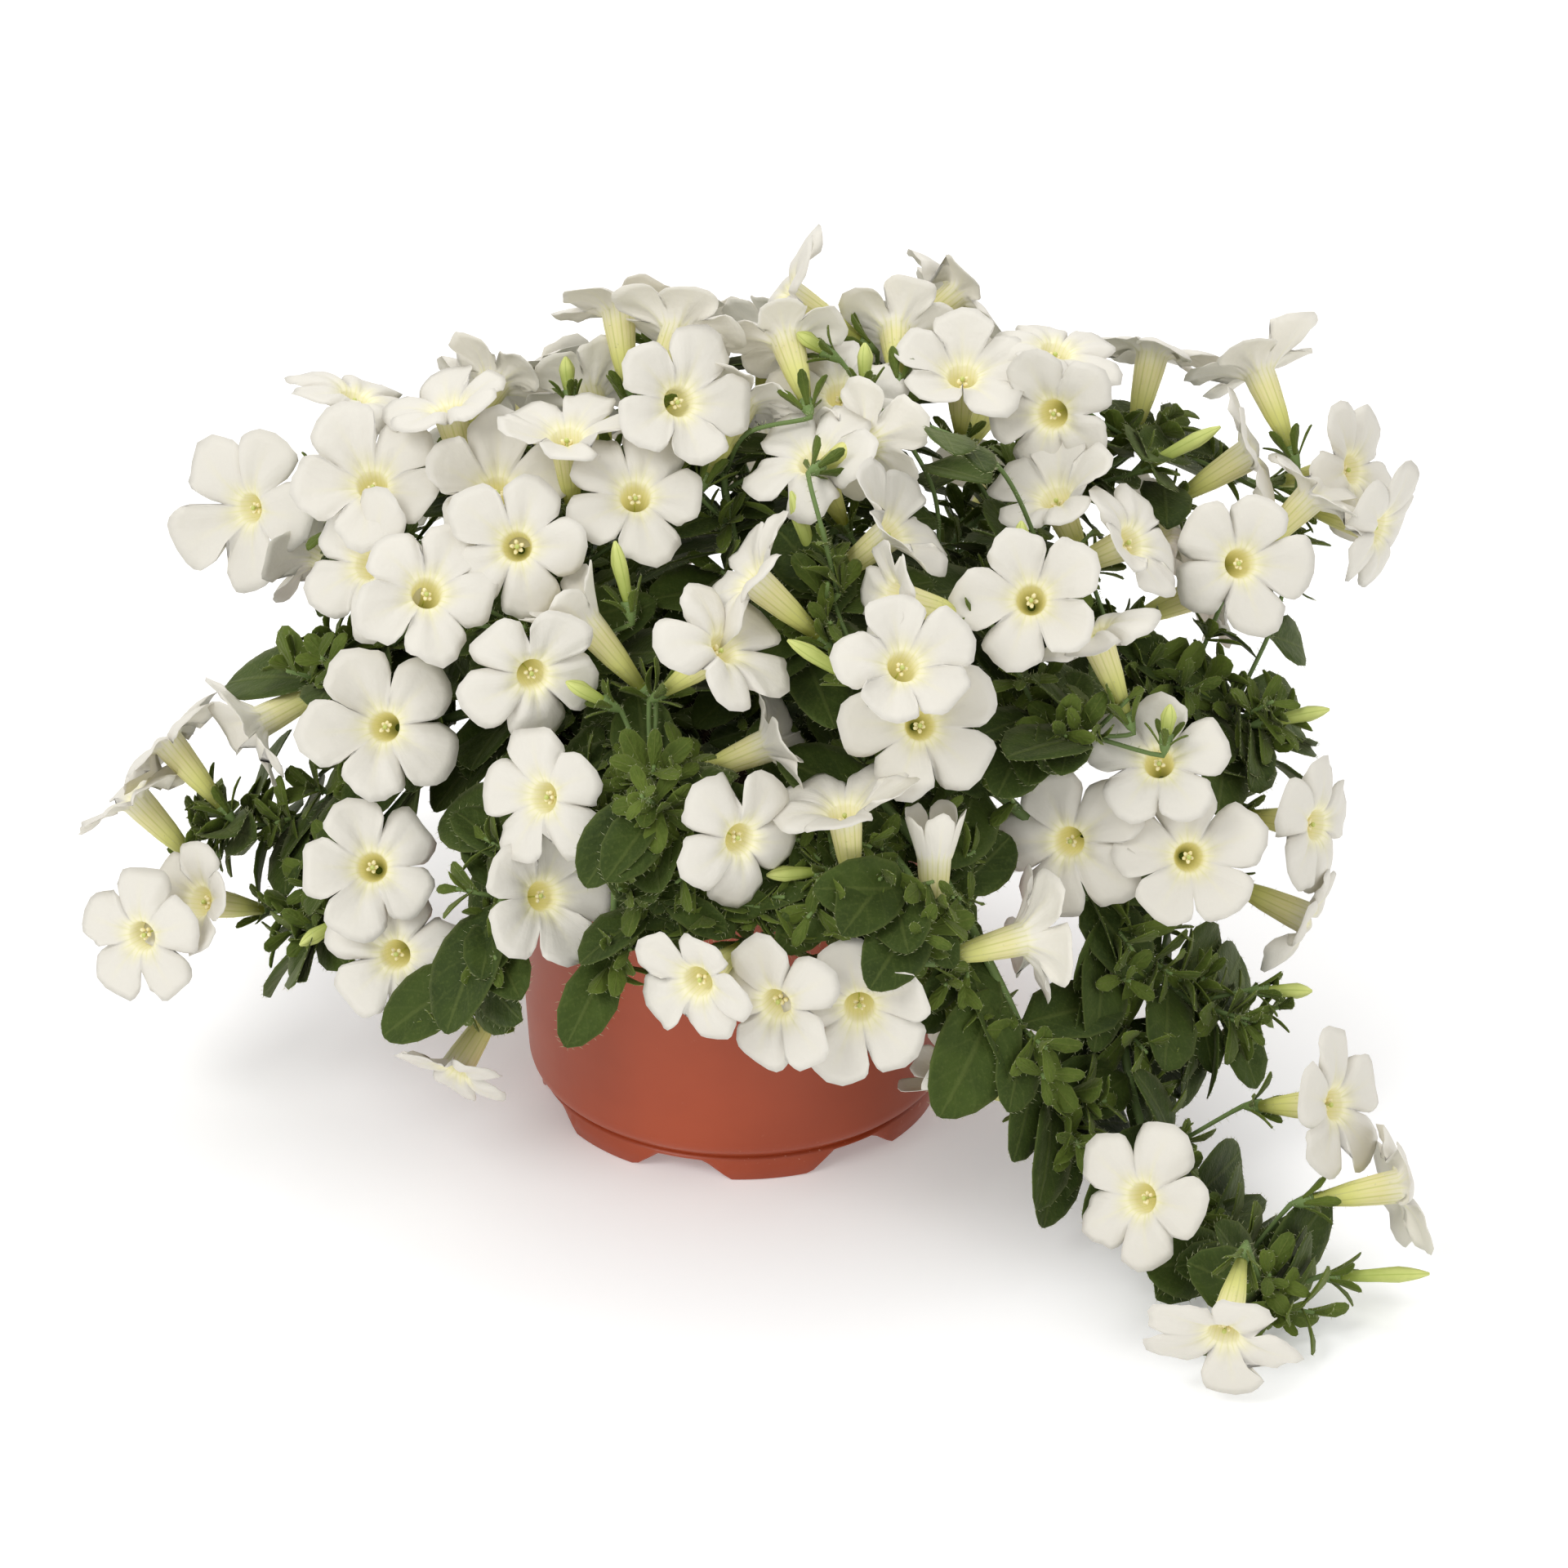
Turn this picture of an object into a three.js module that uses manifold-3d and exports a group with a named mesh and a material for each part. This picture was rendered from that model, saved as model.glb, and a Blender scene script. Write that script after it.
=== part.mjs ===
// A small-flowered white petunia in a round terracotta-coloured nursery pot.
// Millimetres, +Z up, origin under the pot's centre, -Y towards the viewer.

import * as THREE from "three";
import { mergeVertices } from "three/addons/utils/BufferGeometryUtils.js";
import Module from "manifold-3d";

const wasm = await Module();
wasm.setup();

// Driving dimensions of the pot
const POT = {
  height: 127, rimRadius: 73.5, rimDepth: 13, mouthRadius: 70.6,
  bodyTop: 71, bodyLow: 66.5, wall: 2.2, floorAt: 9, floorThick: 2,
  footRadius: 63.5, footHeight: 8.6, footWall: 3.4, groove: 0.8, shoulder: 7,
  notches: 7, notchFrom: 9, notchHeight: 6.4, notchTop: 15, notchFoot: 34,
  sides: 24,
};
const DRAIN = { count: 6, ring: 44, radius: 4.5, sides: 6 };

// Soil, filled to a little under the rim
const SOIL = { top: 113, crown: 3, gap: 0.35, holeDepth: 14, holeSides: 6, holeRadius: 3.5 };

// Stems, flower stalks, leaves, flowers and buds. Pairs are ranges for a draw.
const STEM = { foot: 2.6, fork: 1.9, tip: 1.2, sides: 3, step: 24 };
const STALK = {
  joint: 0.7, foot: 0.9, neck: 1.0, calyx: 2.6, calyxLength: 6, sides: 3,
  tipJoint: 0.95, behind: 12, reach: 95, bends: [0, 8, 16, 26, 36], ways: 6,
};
const LEAF = {
  joint: 0.35, length: 39, width: 24, thick: 0.75, spread: [38, 82], rise: [-0.1, 0.25],
  long: [0.78, 1.12], broad: [0.88, 1.08], droop: [0.06, 0.26], fold: [0.12, 0.32],
};
const BLOOM = { tube: 26, tubeFoot: 1.7, mouth: 4.6, neck: 1, throat: 11, blade: 0.8, seat: 0.3 };
const LOBE = { count: 5, notch: 0.5, long: [0.93, 1.05], shoulderAt: 20, bend: 1.5, lean: 3, edge: 0.8 };
const LIMB = {
  centre: 0.8, rise: 4.4, fold: { closed: [6.4, 7], open: [8.2, 4.6] }, narrow: 0.45, tall: 1.25,
};
const BUD = {
  calyx: 2.1, radius: 2.2, point: 0.6, widest: 0.55, sides: 3, shifts: [0, 4, -4, 8, -8, 12, -12],
};
const LIMB_STEP = 0.05;
const OUTWARD = { from: 60, lean: 0.8, light: 0.45 };
const CLEAR = 0.35;
const TOUCH = 1e-4;
const SEED = 1407;

// Places are given as seen from the front, 29 degrees above the ground:
// millimetres to the right, up and towards the viewer, from the pot's foot.
const VIEW_PITCH = THREE.MathUtils.degToRad(29);

// The plant: each leafy stem has branches, given by points from root to tip.
// A branch rooted in the soil starts at its hole; a fork starts on the branch
// named by its number in the stem.
const LEAFY_STEMS = {
  leafy_stem_trailing_right: {
    hole: [40, -24],
    branches: [
      { points: [[58, -36, 140], [88, -50, 128], [112, -56, 98], [122, -62, 66], [130, -84, 34],
        [146, -108, 15], [158, -128, 10], [166, -146, 9]] },
      { fork: 0, at: 0.42, points: [[136, -56, 74], [150, -56, 60], [162, -54, 52]] },
    ],
  },
  leafy_stem_front_right: {
    hole: [18, -42],
    branches: [
      { points: [[34, -62, 138], [58, -84, 122], [78, -92, 86], [92, -94, 52], [100, -96, 36]] },
      { fork: 0, at: 0.3, points: [[50, -88, 116], [54, -96, 100]] },
    ],
  },
  leafy_stem_front_left: {
    hole: [-20, -40],
    branches: [
      { points: [[-36, -58, 138], [-58, -70, 124], [-70, -76, 96], [-76, -76, 70]] },
      { fork: 0, at: 0.22, points: [[-26, -76, 146], [-22, -92, 148]] },
    ],
  },
  leafy_stem_trailing_left: {
    hole: [-44, -8],
    branches: [
      { points: [[-60, -6, 136], [-92, -2, 128], [-122, 4, 102], [-146, 6, 84], [-164, 8, 84]] },
      { fork: 0, at: 0.5, points: [[-122, -16, 84], [-128, -30, 70]] },
    ],
  },
  leafy_stem_left: {
    hole: [-38, 22],
    branches: [
      { points: [[-54, 26, 142], [-84, 30, 158], [-112, 38, 166], [-136, 44, 168]] },
      { fork: 0, at: 0.3, points: [[-92, 8, 150], [-116, -4, 148], [-130, -8, 142]] },
    ],
  },
  leafy_stem_crown_left: {
    hole: [-14, 4],
    branches: [
      { points: [[-30, 2, 140], [-52, 4, 172], [-68, 12, 198], [-76, 20, 212]] },
      { fork: 0, at: 0.3, points: [[-50, -24, 162], [-62, -38, 178], [-70, -48, 184]] },
    ],
  },
  leafy_stem_crown: {
    hole: [6, -14],
    branches: [
      { points: [[10, -26, 142], [16, -40, 168], [24, -46, 186], [30, -48, 196]] },
      { fork: 0, at: 0.32, points: [[2, -14, 176], [-4, 2, 206], [-4, 10, 222]] },
    ],
  },
  leafy_stem_crown_back: {
    hole: [8, 16],
    branches: [
      { points: [[18, 26, 146], [32, 42, 180], [42, 58, 206], [46, 66, 218]] },
      { fork: 0, at: 0.35, points: [[4, 60, 176], [-16, 76, 198], [-24, 86, 206]] },
    ],
  },
  leafy_stem_right: {
    hole: [40, 16],
    branches: [
      { points: [[56, 22, 144], [84, 34, 168], [110, 46, 188], [128, 56, 198]] },
      { fork: 0, at: 0.3, points: [[90, 14, 148], [124, 6, 140], [150, 2, 128], [160, 0, 122]] },
    ],
  },
  leafy_stem_centre_right: {
    hole: [28, -2],
    branches: [
      { points: [[42, -8, 144], [64, -10, 166], [84, -12, 180], [98, -14, 188]] },
      { fork: 0, at: 0.3, points: [[68, -36, 148], [92, -48, 150], [106, -56, 152]] },
    ],
  },
  leafy_stem_back_left: {
    hole: [-20, 42],
    branches: [
      { points: [[-34, 58, 142], [-60, 84, 140], [-80, 108, 120], [-92, 128, 94], [-98, 150, 76],
        [-100, 168, 66]] },
      { fork: 0, at: 0.25, points: [[-62, 74, 166], [-80, 84, 178]] },
    ],
  },
  leafy_stem_back_right: {
    hole: [20, 40],
    branches: [
      { points: [[34, 56, 142], [60, 82, 142], [84, 100, 126], [104, 112, 104]] },
      { fork: 0, at: 0.25, points: [[30, 86, 146], [26, 112, 126], [24, 130, 96], [24, 140, 78]] },
      { fork: 0, at: 0.3, points: [[74, 70, 160], [90, 78, 170]] },
    ],
  },
};

// Blooms that touch are one body. Each row is the place of the limb's centre
// (right, up, towards), the way it faces (the same axes), the limb's width and
// how far it has opened, 1 being flat.
const BLOOMS = {
  blooms_upper_left: [[-156, 178, 35, -0.6, -0.1, 0.7, 50, 1]],
  blooms_left_crown: [
    [-115, 213, 84, 0.35, 0.85, 0.3, 44, 1],
    [-110, 183, 107, -0.05, 0.35, 0.9, 47, 1],
    [-113, 158, 111, -0.55, 0.1, 0.8, 46, 1],
    [-91, 149, 134, 0.15, 0.2, 0.95, 44, 1],
    [-72, 181, 111, 0, 0.35, 0.9, 44, 1],
    [-65, 162, 135, 0, 0, 1, 42, 1],
    [-51, 198, 123, -0.05, 0.8, 0.6, 42, 1],
  ],
  bloom_left_top: [[-88, 208, 103, -0.25, 0.9, 0.3, 40, 1]],
  bloom_left_back: [[-73, 217, 73, 0.4, 0.7, -0.5, 40, 1]],
  blooms_crown_left: [
    [-17, 231, 100, 0.3, 0.8, -0.4, 42, 1],
    [-47, 213, 77, -0.25, 0.7, -0.6, 40, 1],
    [-37, 239, 85, -0.12, 0.97, -0.25, 42, 1],
  ],
  bloom_crown_top: [[12, 243, 81, -0.8, 0.5, 0.2, 46, 1]],
  blooms_crown: [
    [-30, 178, 127, 0.05, 0.25, 0.95, 43, 1],
    [-16, 206, 123, 0.35, 0.1, 0.9, 44, 1],
    [3, 210, 100, 0.4, 0.85, -0.3, 44, 1],
    [14, 228, 96, -0.2, 0.7, -0.6, 38, 1],
    [31, 211, 103, 0, 0.55, 0.8, 44, 1],
    [21, 190, 126, -0.35, 0.65, 0.65, 44, 1],
    [41, 195, 113, 0.5, 0.3, -0.7, 38, 1],
  ],
  bloom_crown_back: [[70, 246, 50, 0.7, 0.6, -0.2, 42, 1]],
  blooms_crown_right: [
    [48, 232, 69, 0, 0.5, -0.7, 36, 1],
    [68, 218, 89, 0, 0.6, 0.75, 44, 1],
    [98, 227, 80, 0.25, 0.72, 0.5, 42, 1],
    [94, 203, 97, -0.25, -0.15, 0.92, 38, 1],
    [94, 181, 101, -0.35, 0.7, 0.55, 40, 1],
    [121, 166, 106, 0.7, 0.3, 0.6, 40, 1],
  ],
  bloom_right_crown: [[130, 230, 36, 0.2, 0.85, -0.1, 42, 1]],
  bloom_right_top: [[161, 224, 36, -0.35, 0.9, -0.2, 46, 1]],
  blooms_far_right: [
    [161, 196, 55, 0.8, 0.5, 0.2, 42, 1],
    [179, 183, 59, 0.65, 0.65, 0.2, 40, 1],
    [195, 191, 35, 0.7, 0.1, 0.5, 44, 1],
    [202, 170, 51, 0.75, -0.25, 0.3, 42, 1],
  ],
  bloom_right: [[153, 159, 87, 0.15, 0, 0.98, 44, 1]],
  bloom_centre_right: [[104, 140, 130, -0.35, 0.85, 0.2, 40, 1]],
  blooms_centre: [
    [86, 146, 147, -0.05, 0.05, 1, 42, 1],
    [48, 168, 135, 0.65, 0.5, 0.5, 40, 1],
    [49, 127, 171, 0.2, 0.3, 0.9, 42, 1],
    [42, 147, 154, -0.85, 0.2, 0.4, 34, 1],
    [54, 109, 146, 0.05, 0, 1, 46, 1],
    [13, 105, 133, 0.85, 0.35, 0.3, 36, 1],
    [3, 75, 160, 0.5, -0.24, 0.8, 42, 1],
    [31, 87, 153, -0.1, 0.85, 0.5, 46, 1],
  ],
  blooms_centre_left: [
    [-1, 133, 160, 0.65, 0.45, 0.55, 44, 1],
    [2, 154, 149, -0.7, 0.6, 0.25, 42, 1],
  ],
  blooms_middle_left: [
    [-59, 123, 143, 0.25, -0.25, 0.9, 42, 1],
    [-52, 148, 138, -0.6, 0.7, 0.2, 36, 0.4],
    [-59, 88, 143, -0.6, 0, 0.75, 42, 1],
    [-56, 59, 131, 0.4, 0.05, 0.9, 42, 1],
  ],
  bloom_left: [[-106, 109, 115, -0.1, 0, 1, 45, 1]],
  bloom_left_side: [[-150, 109, 74, -0.85, -0.45, 0.2, 42, 1]],
  blooms_left_tip: [
    [-180, 108, 50, -0.62, 0.75, 0.1, 42, 1],
    [-191, 90, 43, -0.65, 0.7, 0.2, 42, 1],
  ],
  blooms_left_low: [
    [-186, 44, 63, -0.45, -0.25, 0.85, 44, 1],
    [-169, 56, 59, -0.6, 0.1, 0.7, 38, 1],
  ],
  blooms_left_hanging: [
    [-110, 67, 105, 0, 0.05, 1, 43, 1],
    [-104, 40, 100, -0.15, -0.1, 0.98, 46, 1],
  ],
  bloom_pot_left: [[-88, 2, 85, -0.5, -0.8, 0.3, 38, 1]],
  bloom_half_open: [[58, 81, 140, 0, 0.95, 0.3, 26, 0.15]],
  bloom_front_right: [[125, 99, 122, -0.1, 0.2, 0.97, 42, 1]],
  blooms_front_right: [
    [98, 74, 112, -0.3, -0.15, 0.95, 47, 1],
    [135, 70, 114, 0, 0, 1, 45, 1],
  ],
  bloom_right_turned: [[88, 47, 126, 0.85, 0.2, -0.3, 42, 1]],
  blooms_right_side: [
    [179, 79, 82, 0.75, -0.1, 0.6, 44, 1],
    [178, 49, 64, 0.85, -0.4, 0.2, 38, 1],
  ],
  blooms_over_pot: [
    [-13, 33, 155, -0.45, -0.35, 0.8, 38, 1],
    [10, 26, 147, -0.4, -0.4, 0.8, 42, 1],
    [36, 25, 142, 0, -0.35, 0.93, 43, 1],
  ],
  bloom_long_trumpet: [[57, 9, 105, -0.85, 0.35, 0.3, 30, 0.35]],
  bloom_trailing_left: [[117, -30, 139, -0.55, 0, 0.8, 43, 1]],
  bloom_trailing_tip: [[139, -69, 176, -0.25, -0.75, 0.6, 45, 1]],
  bloom_trailing_right: [[180, -3, 126, 0.75, 0.05, 0.6, 46, 1]],
  bloom_trailing_side: [[200, -27, 120, 0.95, 0.15, -0.1, 42, 1]],
};

// The far side, which is like the near one. Places and facings here are to the
// right, back and up, then come the width and the opening.
const BACK_BLOOMS = {
  blooms_upper_left: [
    [-122, 70, 184, -0.8, 0.5, 0.3, 44, 1],
    [-136, 53, 161, -0.85, 0.4, 0.3, 42, 1],
  ],
  bloom_back_top: [[-20, 119, 207, -0.1, 0.7, 0.7, 43, 1]],
  bloom_back_top_middle: [[12, 109, 211, 0.2, 0.8, 0.6, 41, 1]],
  blooms_back_top_left: [
    [-72, 87, 205, -0.4, 0.6, 0.7, 44, 1],
    [-60, 111, 185, -0.3, 0.85, 0.4, 42, 1],
  ],
  blooms_back_top_right: [
    [58, 113, 211, 0.3, 0.7, 0.6, 42, 1],
    [84, 116, 188, 0.4, 0.8, 0.4, 44, 1],
  ],
  bloom_back_right: [[86, 124, 150, 0.5, 0.9, 0.2, 45, 1]],
  bloom_back_left: [[-100, 118, 150, -0.6, 0.8, 0.2, 44, 1]],
  blooms_back_middle: [
    [-20, 147, 160, -0.1, 1, 0.2, 45, 1],
    [10, 152, 150, 0.1, 1, 0.1, 42, 1],
  ],
  blooms_back_right_side: [
    [138, 88, 152, 0.8, 0.6, 0.2, 43, 1],
    [150, 64, 141, 0.9, 0.4, 0.2, 44, 1],
  ],
  bloom_back_low_left: [[-92, 189, 66, -0.2, 0.8, 0.5, 44, 1]],
  bloom_back_low_middle: [[-36, 150, 116, -0.3, 1, 0, 43, 1]],
  bloom_back_low_right: [[44, 157, 92, 0.3, 1, 0, 44, 1]],
};

// Closed buds: base (right, up, towards), pointing (the same axes) and length
const BUDS = [
  [23, 157, 130, -0.3, 0.9, 0.2, 23],
  [33, 123, 150, -0.85, 0.5, 0.3, 22],
  [-32, 145, 135, -0.2, 0.95, 0.2, 19],
  [-39, 116, 140, -0.85, 0.45, 0.3, 13],
  [-122, 50, 80, -0.8, -0.5, 0.3, 14],
  [163, 111, 65, 0.95, 0.2, 0.2, 19],
  [161, 29, 80, 0.95, 0, 0.3, 14],
  [178, -54, 125, 0.97, 0.05, 0.2, 27],
  [126, 190, 65, 0.85, 0.45, 0.2, 25],
  [-51, 210, 95, -0.1, 0.95, 0, 11],
  [38, 212, 100, 0, 1, 0.1, 12],
  [26, 222, 95, -0.8, 0.5, 0.2, 10],
  [84, 158, 125, 0, 1, 0.2, 12],
  [127, 106, 125, 0.1, 0.9, 0.3, 10],
  [23, 66, 140, -0.95, -0.05, 0.3, 15],
  [-36, 75, 130, -0.95, 0, 0.3, 16],
];

const FINISHES = {
  pot: { color: 0xa0523c, roughness: 0.45 },
  soil: { color: 0x33251c, roughness: 0.95 },
  leaf: { color: 0x35512b, roughness: 0.75 },
  bloom: { color: 0xf1efe6, roughness: 0.6 },
};

// Draws between 0 and 1, always the same ones for a seed
function dice(seed) {
  let state = seed >>> 0;
  return () => {
    state = (state + 0x6d2b79f5) >>> 0;
    let mix = Math.imul(state ^ (state >>> 15), 1 | state);
    mix = (mix + Math.imul(mix ^ (mix >>> 7), 61 | mix)) ^ mix;
    return ((mix ^ (mix >>> 14)) >>> 0) / 4294967296;
  };
}

const vec = (x, y, z) => new THREE.Vector3(x, y, z);
const radians = THREE.MathUtils.degToRad;
const lerp = THREE.MathUtils.lerp;
const within = ([low, high], draw) => lerp(low, high, draw());
const wave = (draw) => 2 * draw() - 1;

function fromView(right, up, near) {
  const sin = Math.sin(VIEW_PITCH);
  const cos = Math.cos(VIEW_PITCH);
  return vec(right, up * sin - near * cos, up * cos + near * sin);
}

const toView = (x, y, z) => {
  const [sin, cos] = [Math.sin(VIEW_PITCH), Math.cos(VIEW_PITCH)];
  return [x, y * sin + z * cos, z * sin - y * cos];
};

// Closed solids from and to plain triangle lists
function solidOf(points, faces) {
  const vertProperties = new Float32Array(points.flatMap((p) => [p.x, p.y, p.z]));
  const triVerts = new Uint32Array(faces.flat());
  return new wasm.Manifold(new wasm.Mesh({ numProp: 3, vertProperties, triVerts }));
}

function solidFrom(geometry) {
  const plain = geometry.clone();
  plain.deleteAttribute("normal");
  plain.deleteAttribute("uv");
  const merged = mergeVertices(plain, 1e-3);
  const vertProperties = new Float32Array(merged.attributes.position.array);
  const triVerts = new Uint32Array(merged.index.array);
  return new wasm.Manifold(new wasm.Mesh({ numProp: 3, vertProperties, triVerts }));
}

function geometryOf(solid) {
  const mesh = solid.getMesh();
  const geometry = new THREE.BufferGeometry();
  geometry.setAttribute("position", new THREE.BufferAttribute(new Float32Array(mesh.vertProperties), 3));
  geometry.setIndex(new THREE.BufferAttribute(new Uint32Array(mesh.triVerts), 1));
  return geometry;
}

// One body from solids that cross: a hollow that they seal between them is
// filled, and a scrap that stays loose is dropped
function joined(solids) {
  const pieces = solids.reduce((sum, solid) => sum.add(solid)).decompose();
  return pieces.reduce((most, piece) => (piece.volume() > most.volume() ? piece : most));
}

function part(name, solid, finish) {
  const mesh = new THREE.Mesh(geometryOf(solid), new THREE.MeshStandardMaterial(finish));
  mesh.name = name;
  return mesh;
}

// A tapered tube through the points, its ends closed
function tube(points, radii, sides) {
  const vertices = [];
  const faces = [];
  let across = null;
  points.forEach((p, i) => {
    const ahead = points[Math.min(i + 1, points.length - 1)];
    const behind = points[Math.max(i - 1, 0)];
    const along = ahead.clone().sub(behind).normalize();
    if (!across) across = Math.abs(along.z) < 0.9 ? vec(0, 0, 1) : vec(1, 0, 0);
    across = across.clone().addScaledVector(along, -across.dot(along)).normalize();
    const up = along.clone().cross(across);
    for (let k = 0; k < sides; k += 1) {
      const turn = (2 * Math.PI * k) / sides;
      vertices.push(p.clone()
        .addScaledVector(across, radii[i] * Math.cos(turn))
        .addScaledVector(up, radii[i] * Math.sin(turn)));
    }
  });
  for (let i = 0; i + 1 < points.length; i += 1) {
    for (let k = 0; k < sides; k += 1) {
      const a = i * sides + k;
      const b = i * sides + ((k + 1) % sides);
      faces.push([a, b, b + sides], [a, b + sides, a + sides]);
    }
  }
  const last = (points.length - 1) * sides;
  for (let k = 1; k + 1 < sides; k += 1) {
    faces.push([0, k + 1, k], [last, last + k, last + k + 1]);
  }
  return solidOf(vertices, faces);
}

function potSolid() {
  const p = POT;
  const footInner = p.footRadius - p.footWall;
  const rimUnder = p.height - p.rimDepth;
  const bevel = p.groove / 2;
  const profile = [
    [0, p.floorAt - p.floorThick], [footInner, p.floorAt - p.floorThick], [footInner, 0],
    [p.footRadius, 0], [p.footRadius + bevel, p.footHeight - p.groove],
    [p.footRadius - bevel, p.footHeight], [p.bodyLow - p.groove, p.footHeight + 2 * p.groove],
    [p.bodyLow + p.groove, p.footHeight + p.shoulder], [p.bodyTop, rimUnder],
    [p.rimRadius - p.groove, rimUnder], [p.rimRadius, p.height], [p.mouthRadius, p.height],
    [p.bodyTop - p.wall, rimUnder - p.wall],
    [p.bodyLow - p.wall, p.floorAt], [0, p.floorAt],
  ].map(([r, z]) => new THREE.Vector2(r, z));
  const lathe = new THREE.LatheGeometry(profile, p.sides);
  lathe.rotateX(Math.PI / 2);
  let pot = solidFrom(lathe);
  const shape = new THREE.Shape([
    new THREE.Vector2(-p.notchFoot / 2, -1), new THREE.Vector2(p.notchFoot / 2, -1),
    new THREE.Vector2(p.notchTop / 2, p.notchHeight), new THREE.Vector2(-p.notchTop / 2, p.notchHeight),
  ]);
  for (let k = 0; k < p.notches; k += 1) {
    const notch = new THREE.ExtrudeGeometry(shape, { depth: 6 * p.footWall, bevelEnabled: false });
    notch.rotateX(Math.PI / 2);
    notch.translate(0, 2 * p.footWall - footInner, 0);
    notch.rotateZ(radians(p.notchFrom + (360 * k) / p.notches));
    pot = pot.subtract(solidFrom(notch));
  }
  for (let k = 0; k < DRAIN.count; k += 1) {
    const hole = new THREE.CylinderGeometry(DRAIN.radius, DRAIN.radius, 5 * p.floorThick, DRAIN.sides);
    hole.rotateX(Math.PI / 2);
    hole.translate(DRAIN.ring, 0, p.floorAt - p.floorThick / 2);
    hole.rotateZ(radians((360 * (k + 0.5)) / DRAIN.count));
    pot = pot.subtract(solidFrom(hole));
  }
  return pot;
}

function soilSolid() {
  const wallAt = (z) => {
    const low = POT.floorAt;
    const high = POT.height - POT.rimDepth - POT.wall;
    return lerp(POT.bodyLow, POT.bodyTop, (z - low) / (high - low)) - POT.wall - 2 * SOIL.gap;
  };
  const profile = [
    [0, POT.floorAt + SOIL.gap], [wallAt(POT.floorAt), POT.floorAt + SOIL.gap],
    [wallAt(SOIL.top), SOIL.top], [0, SOIL.top + SOIL.crown],
  ].map(([r, z]) => new THREE.Vector2(r, z));
  const lathe = new THREE.LatheGeometry(profile, POT.sides);
  lathe.rotateX(Math.PI / 2);
  let soil = solidFrom(lathe);
  Object.values(LEAFY_STEMS).forEach(({ hole: [x, y] }) => {
    const length = 2 * SOIL.holeDepth;
    const hole = new THREE.CylinderGeometry(SOIL.holeRadius, SOIL.holeRadius, length, SOIL.holeSides);
    hole.rotateX(Math.PI / 2);
    hole.translate(x, y, SOIL.top);
    soil = soil.subtract(solidFrom(hole));
  });
  return soil;
}

// The flared limb's curve: distance from the axis and height above the mouth
function flare(reach, width, open) {
  const half = width / 2;
  const { closed: shut, open: spread } = LIMB.fold;
  const start = [BLOOM.mouth, 0];
  const fold = [lerp(shut[0], spread[0], open), lerp(shut[1], spread[1], open)];
  const end = [
    lerp(lerp(BLOOM.mouth, half, LIMB.narrow), half, open),
    lerp(half * LIMB.tall, LIMB.rise, open),
  ];
  const rest = 1 - reach;
  return [0, 1].map((k) => rest ** 2 * start[k] + 2 * rest * reach * fold[k] + reach ** 2 * end[k]);
}

// Right, up and out of something that faces one way, turned by the roll
function axesOf(facing, roll) {
  const level = vec(0, 0, 1).cross(facing);
  const right = (level.length() > 0.1 ? level : vec(1, 0, 0)).normalize();
  const up = facing.clone().cross(right);
  const cos = Math.cos(roll);
  const sin = Math.sin(roll);
  return [
    right.clone().multiplyScalar(cos).addScaledVector(up, sin),
    up.clone().multiplyScalar(cos).addScaledVector(right, -sin),
    facing,
  ];
}

function bloomFrame([right, up, near, faceRight, faceUp, faceNear, width, open]) {
  const facing = fromView(faceRight, faceUp, faceNear).normalize();
  const draw = dice(SEED + Math.round(31 * right + 17 * up));
  const roll = 2 * Math.PI * draw();
  const lobes = Array.from({ length: LOBE.count }, () => ({
    long: within(LOBE.long, draw),
    bend: LOBE.bend * wave(draw),
    lean: LOBE.lean * wave(draw),
  }));
  const centre = fromView(right, up, near);
  const mouth = centre.clone().addScaledVector(facing, -flare(LIMB.centre, width, open)[1]);
  const seat = mouth.clone().addScaledVector(facing, -BLOOM.tube - BLOOM.seat);
  return { facing, width, open, lobes, mouth, seat, axes: axesOf(facing, roll) };
}

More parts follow.
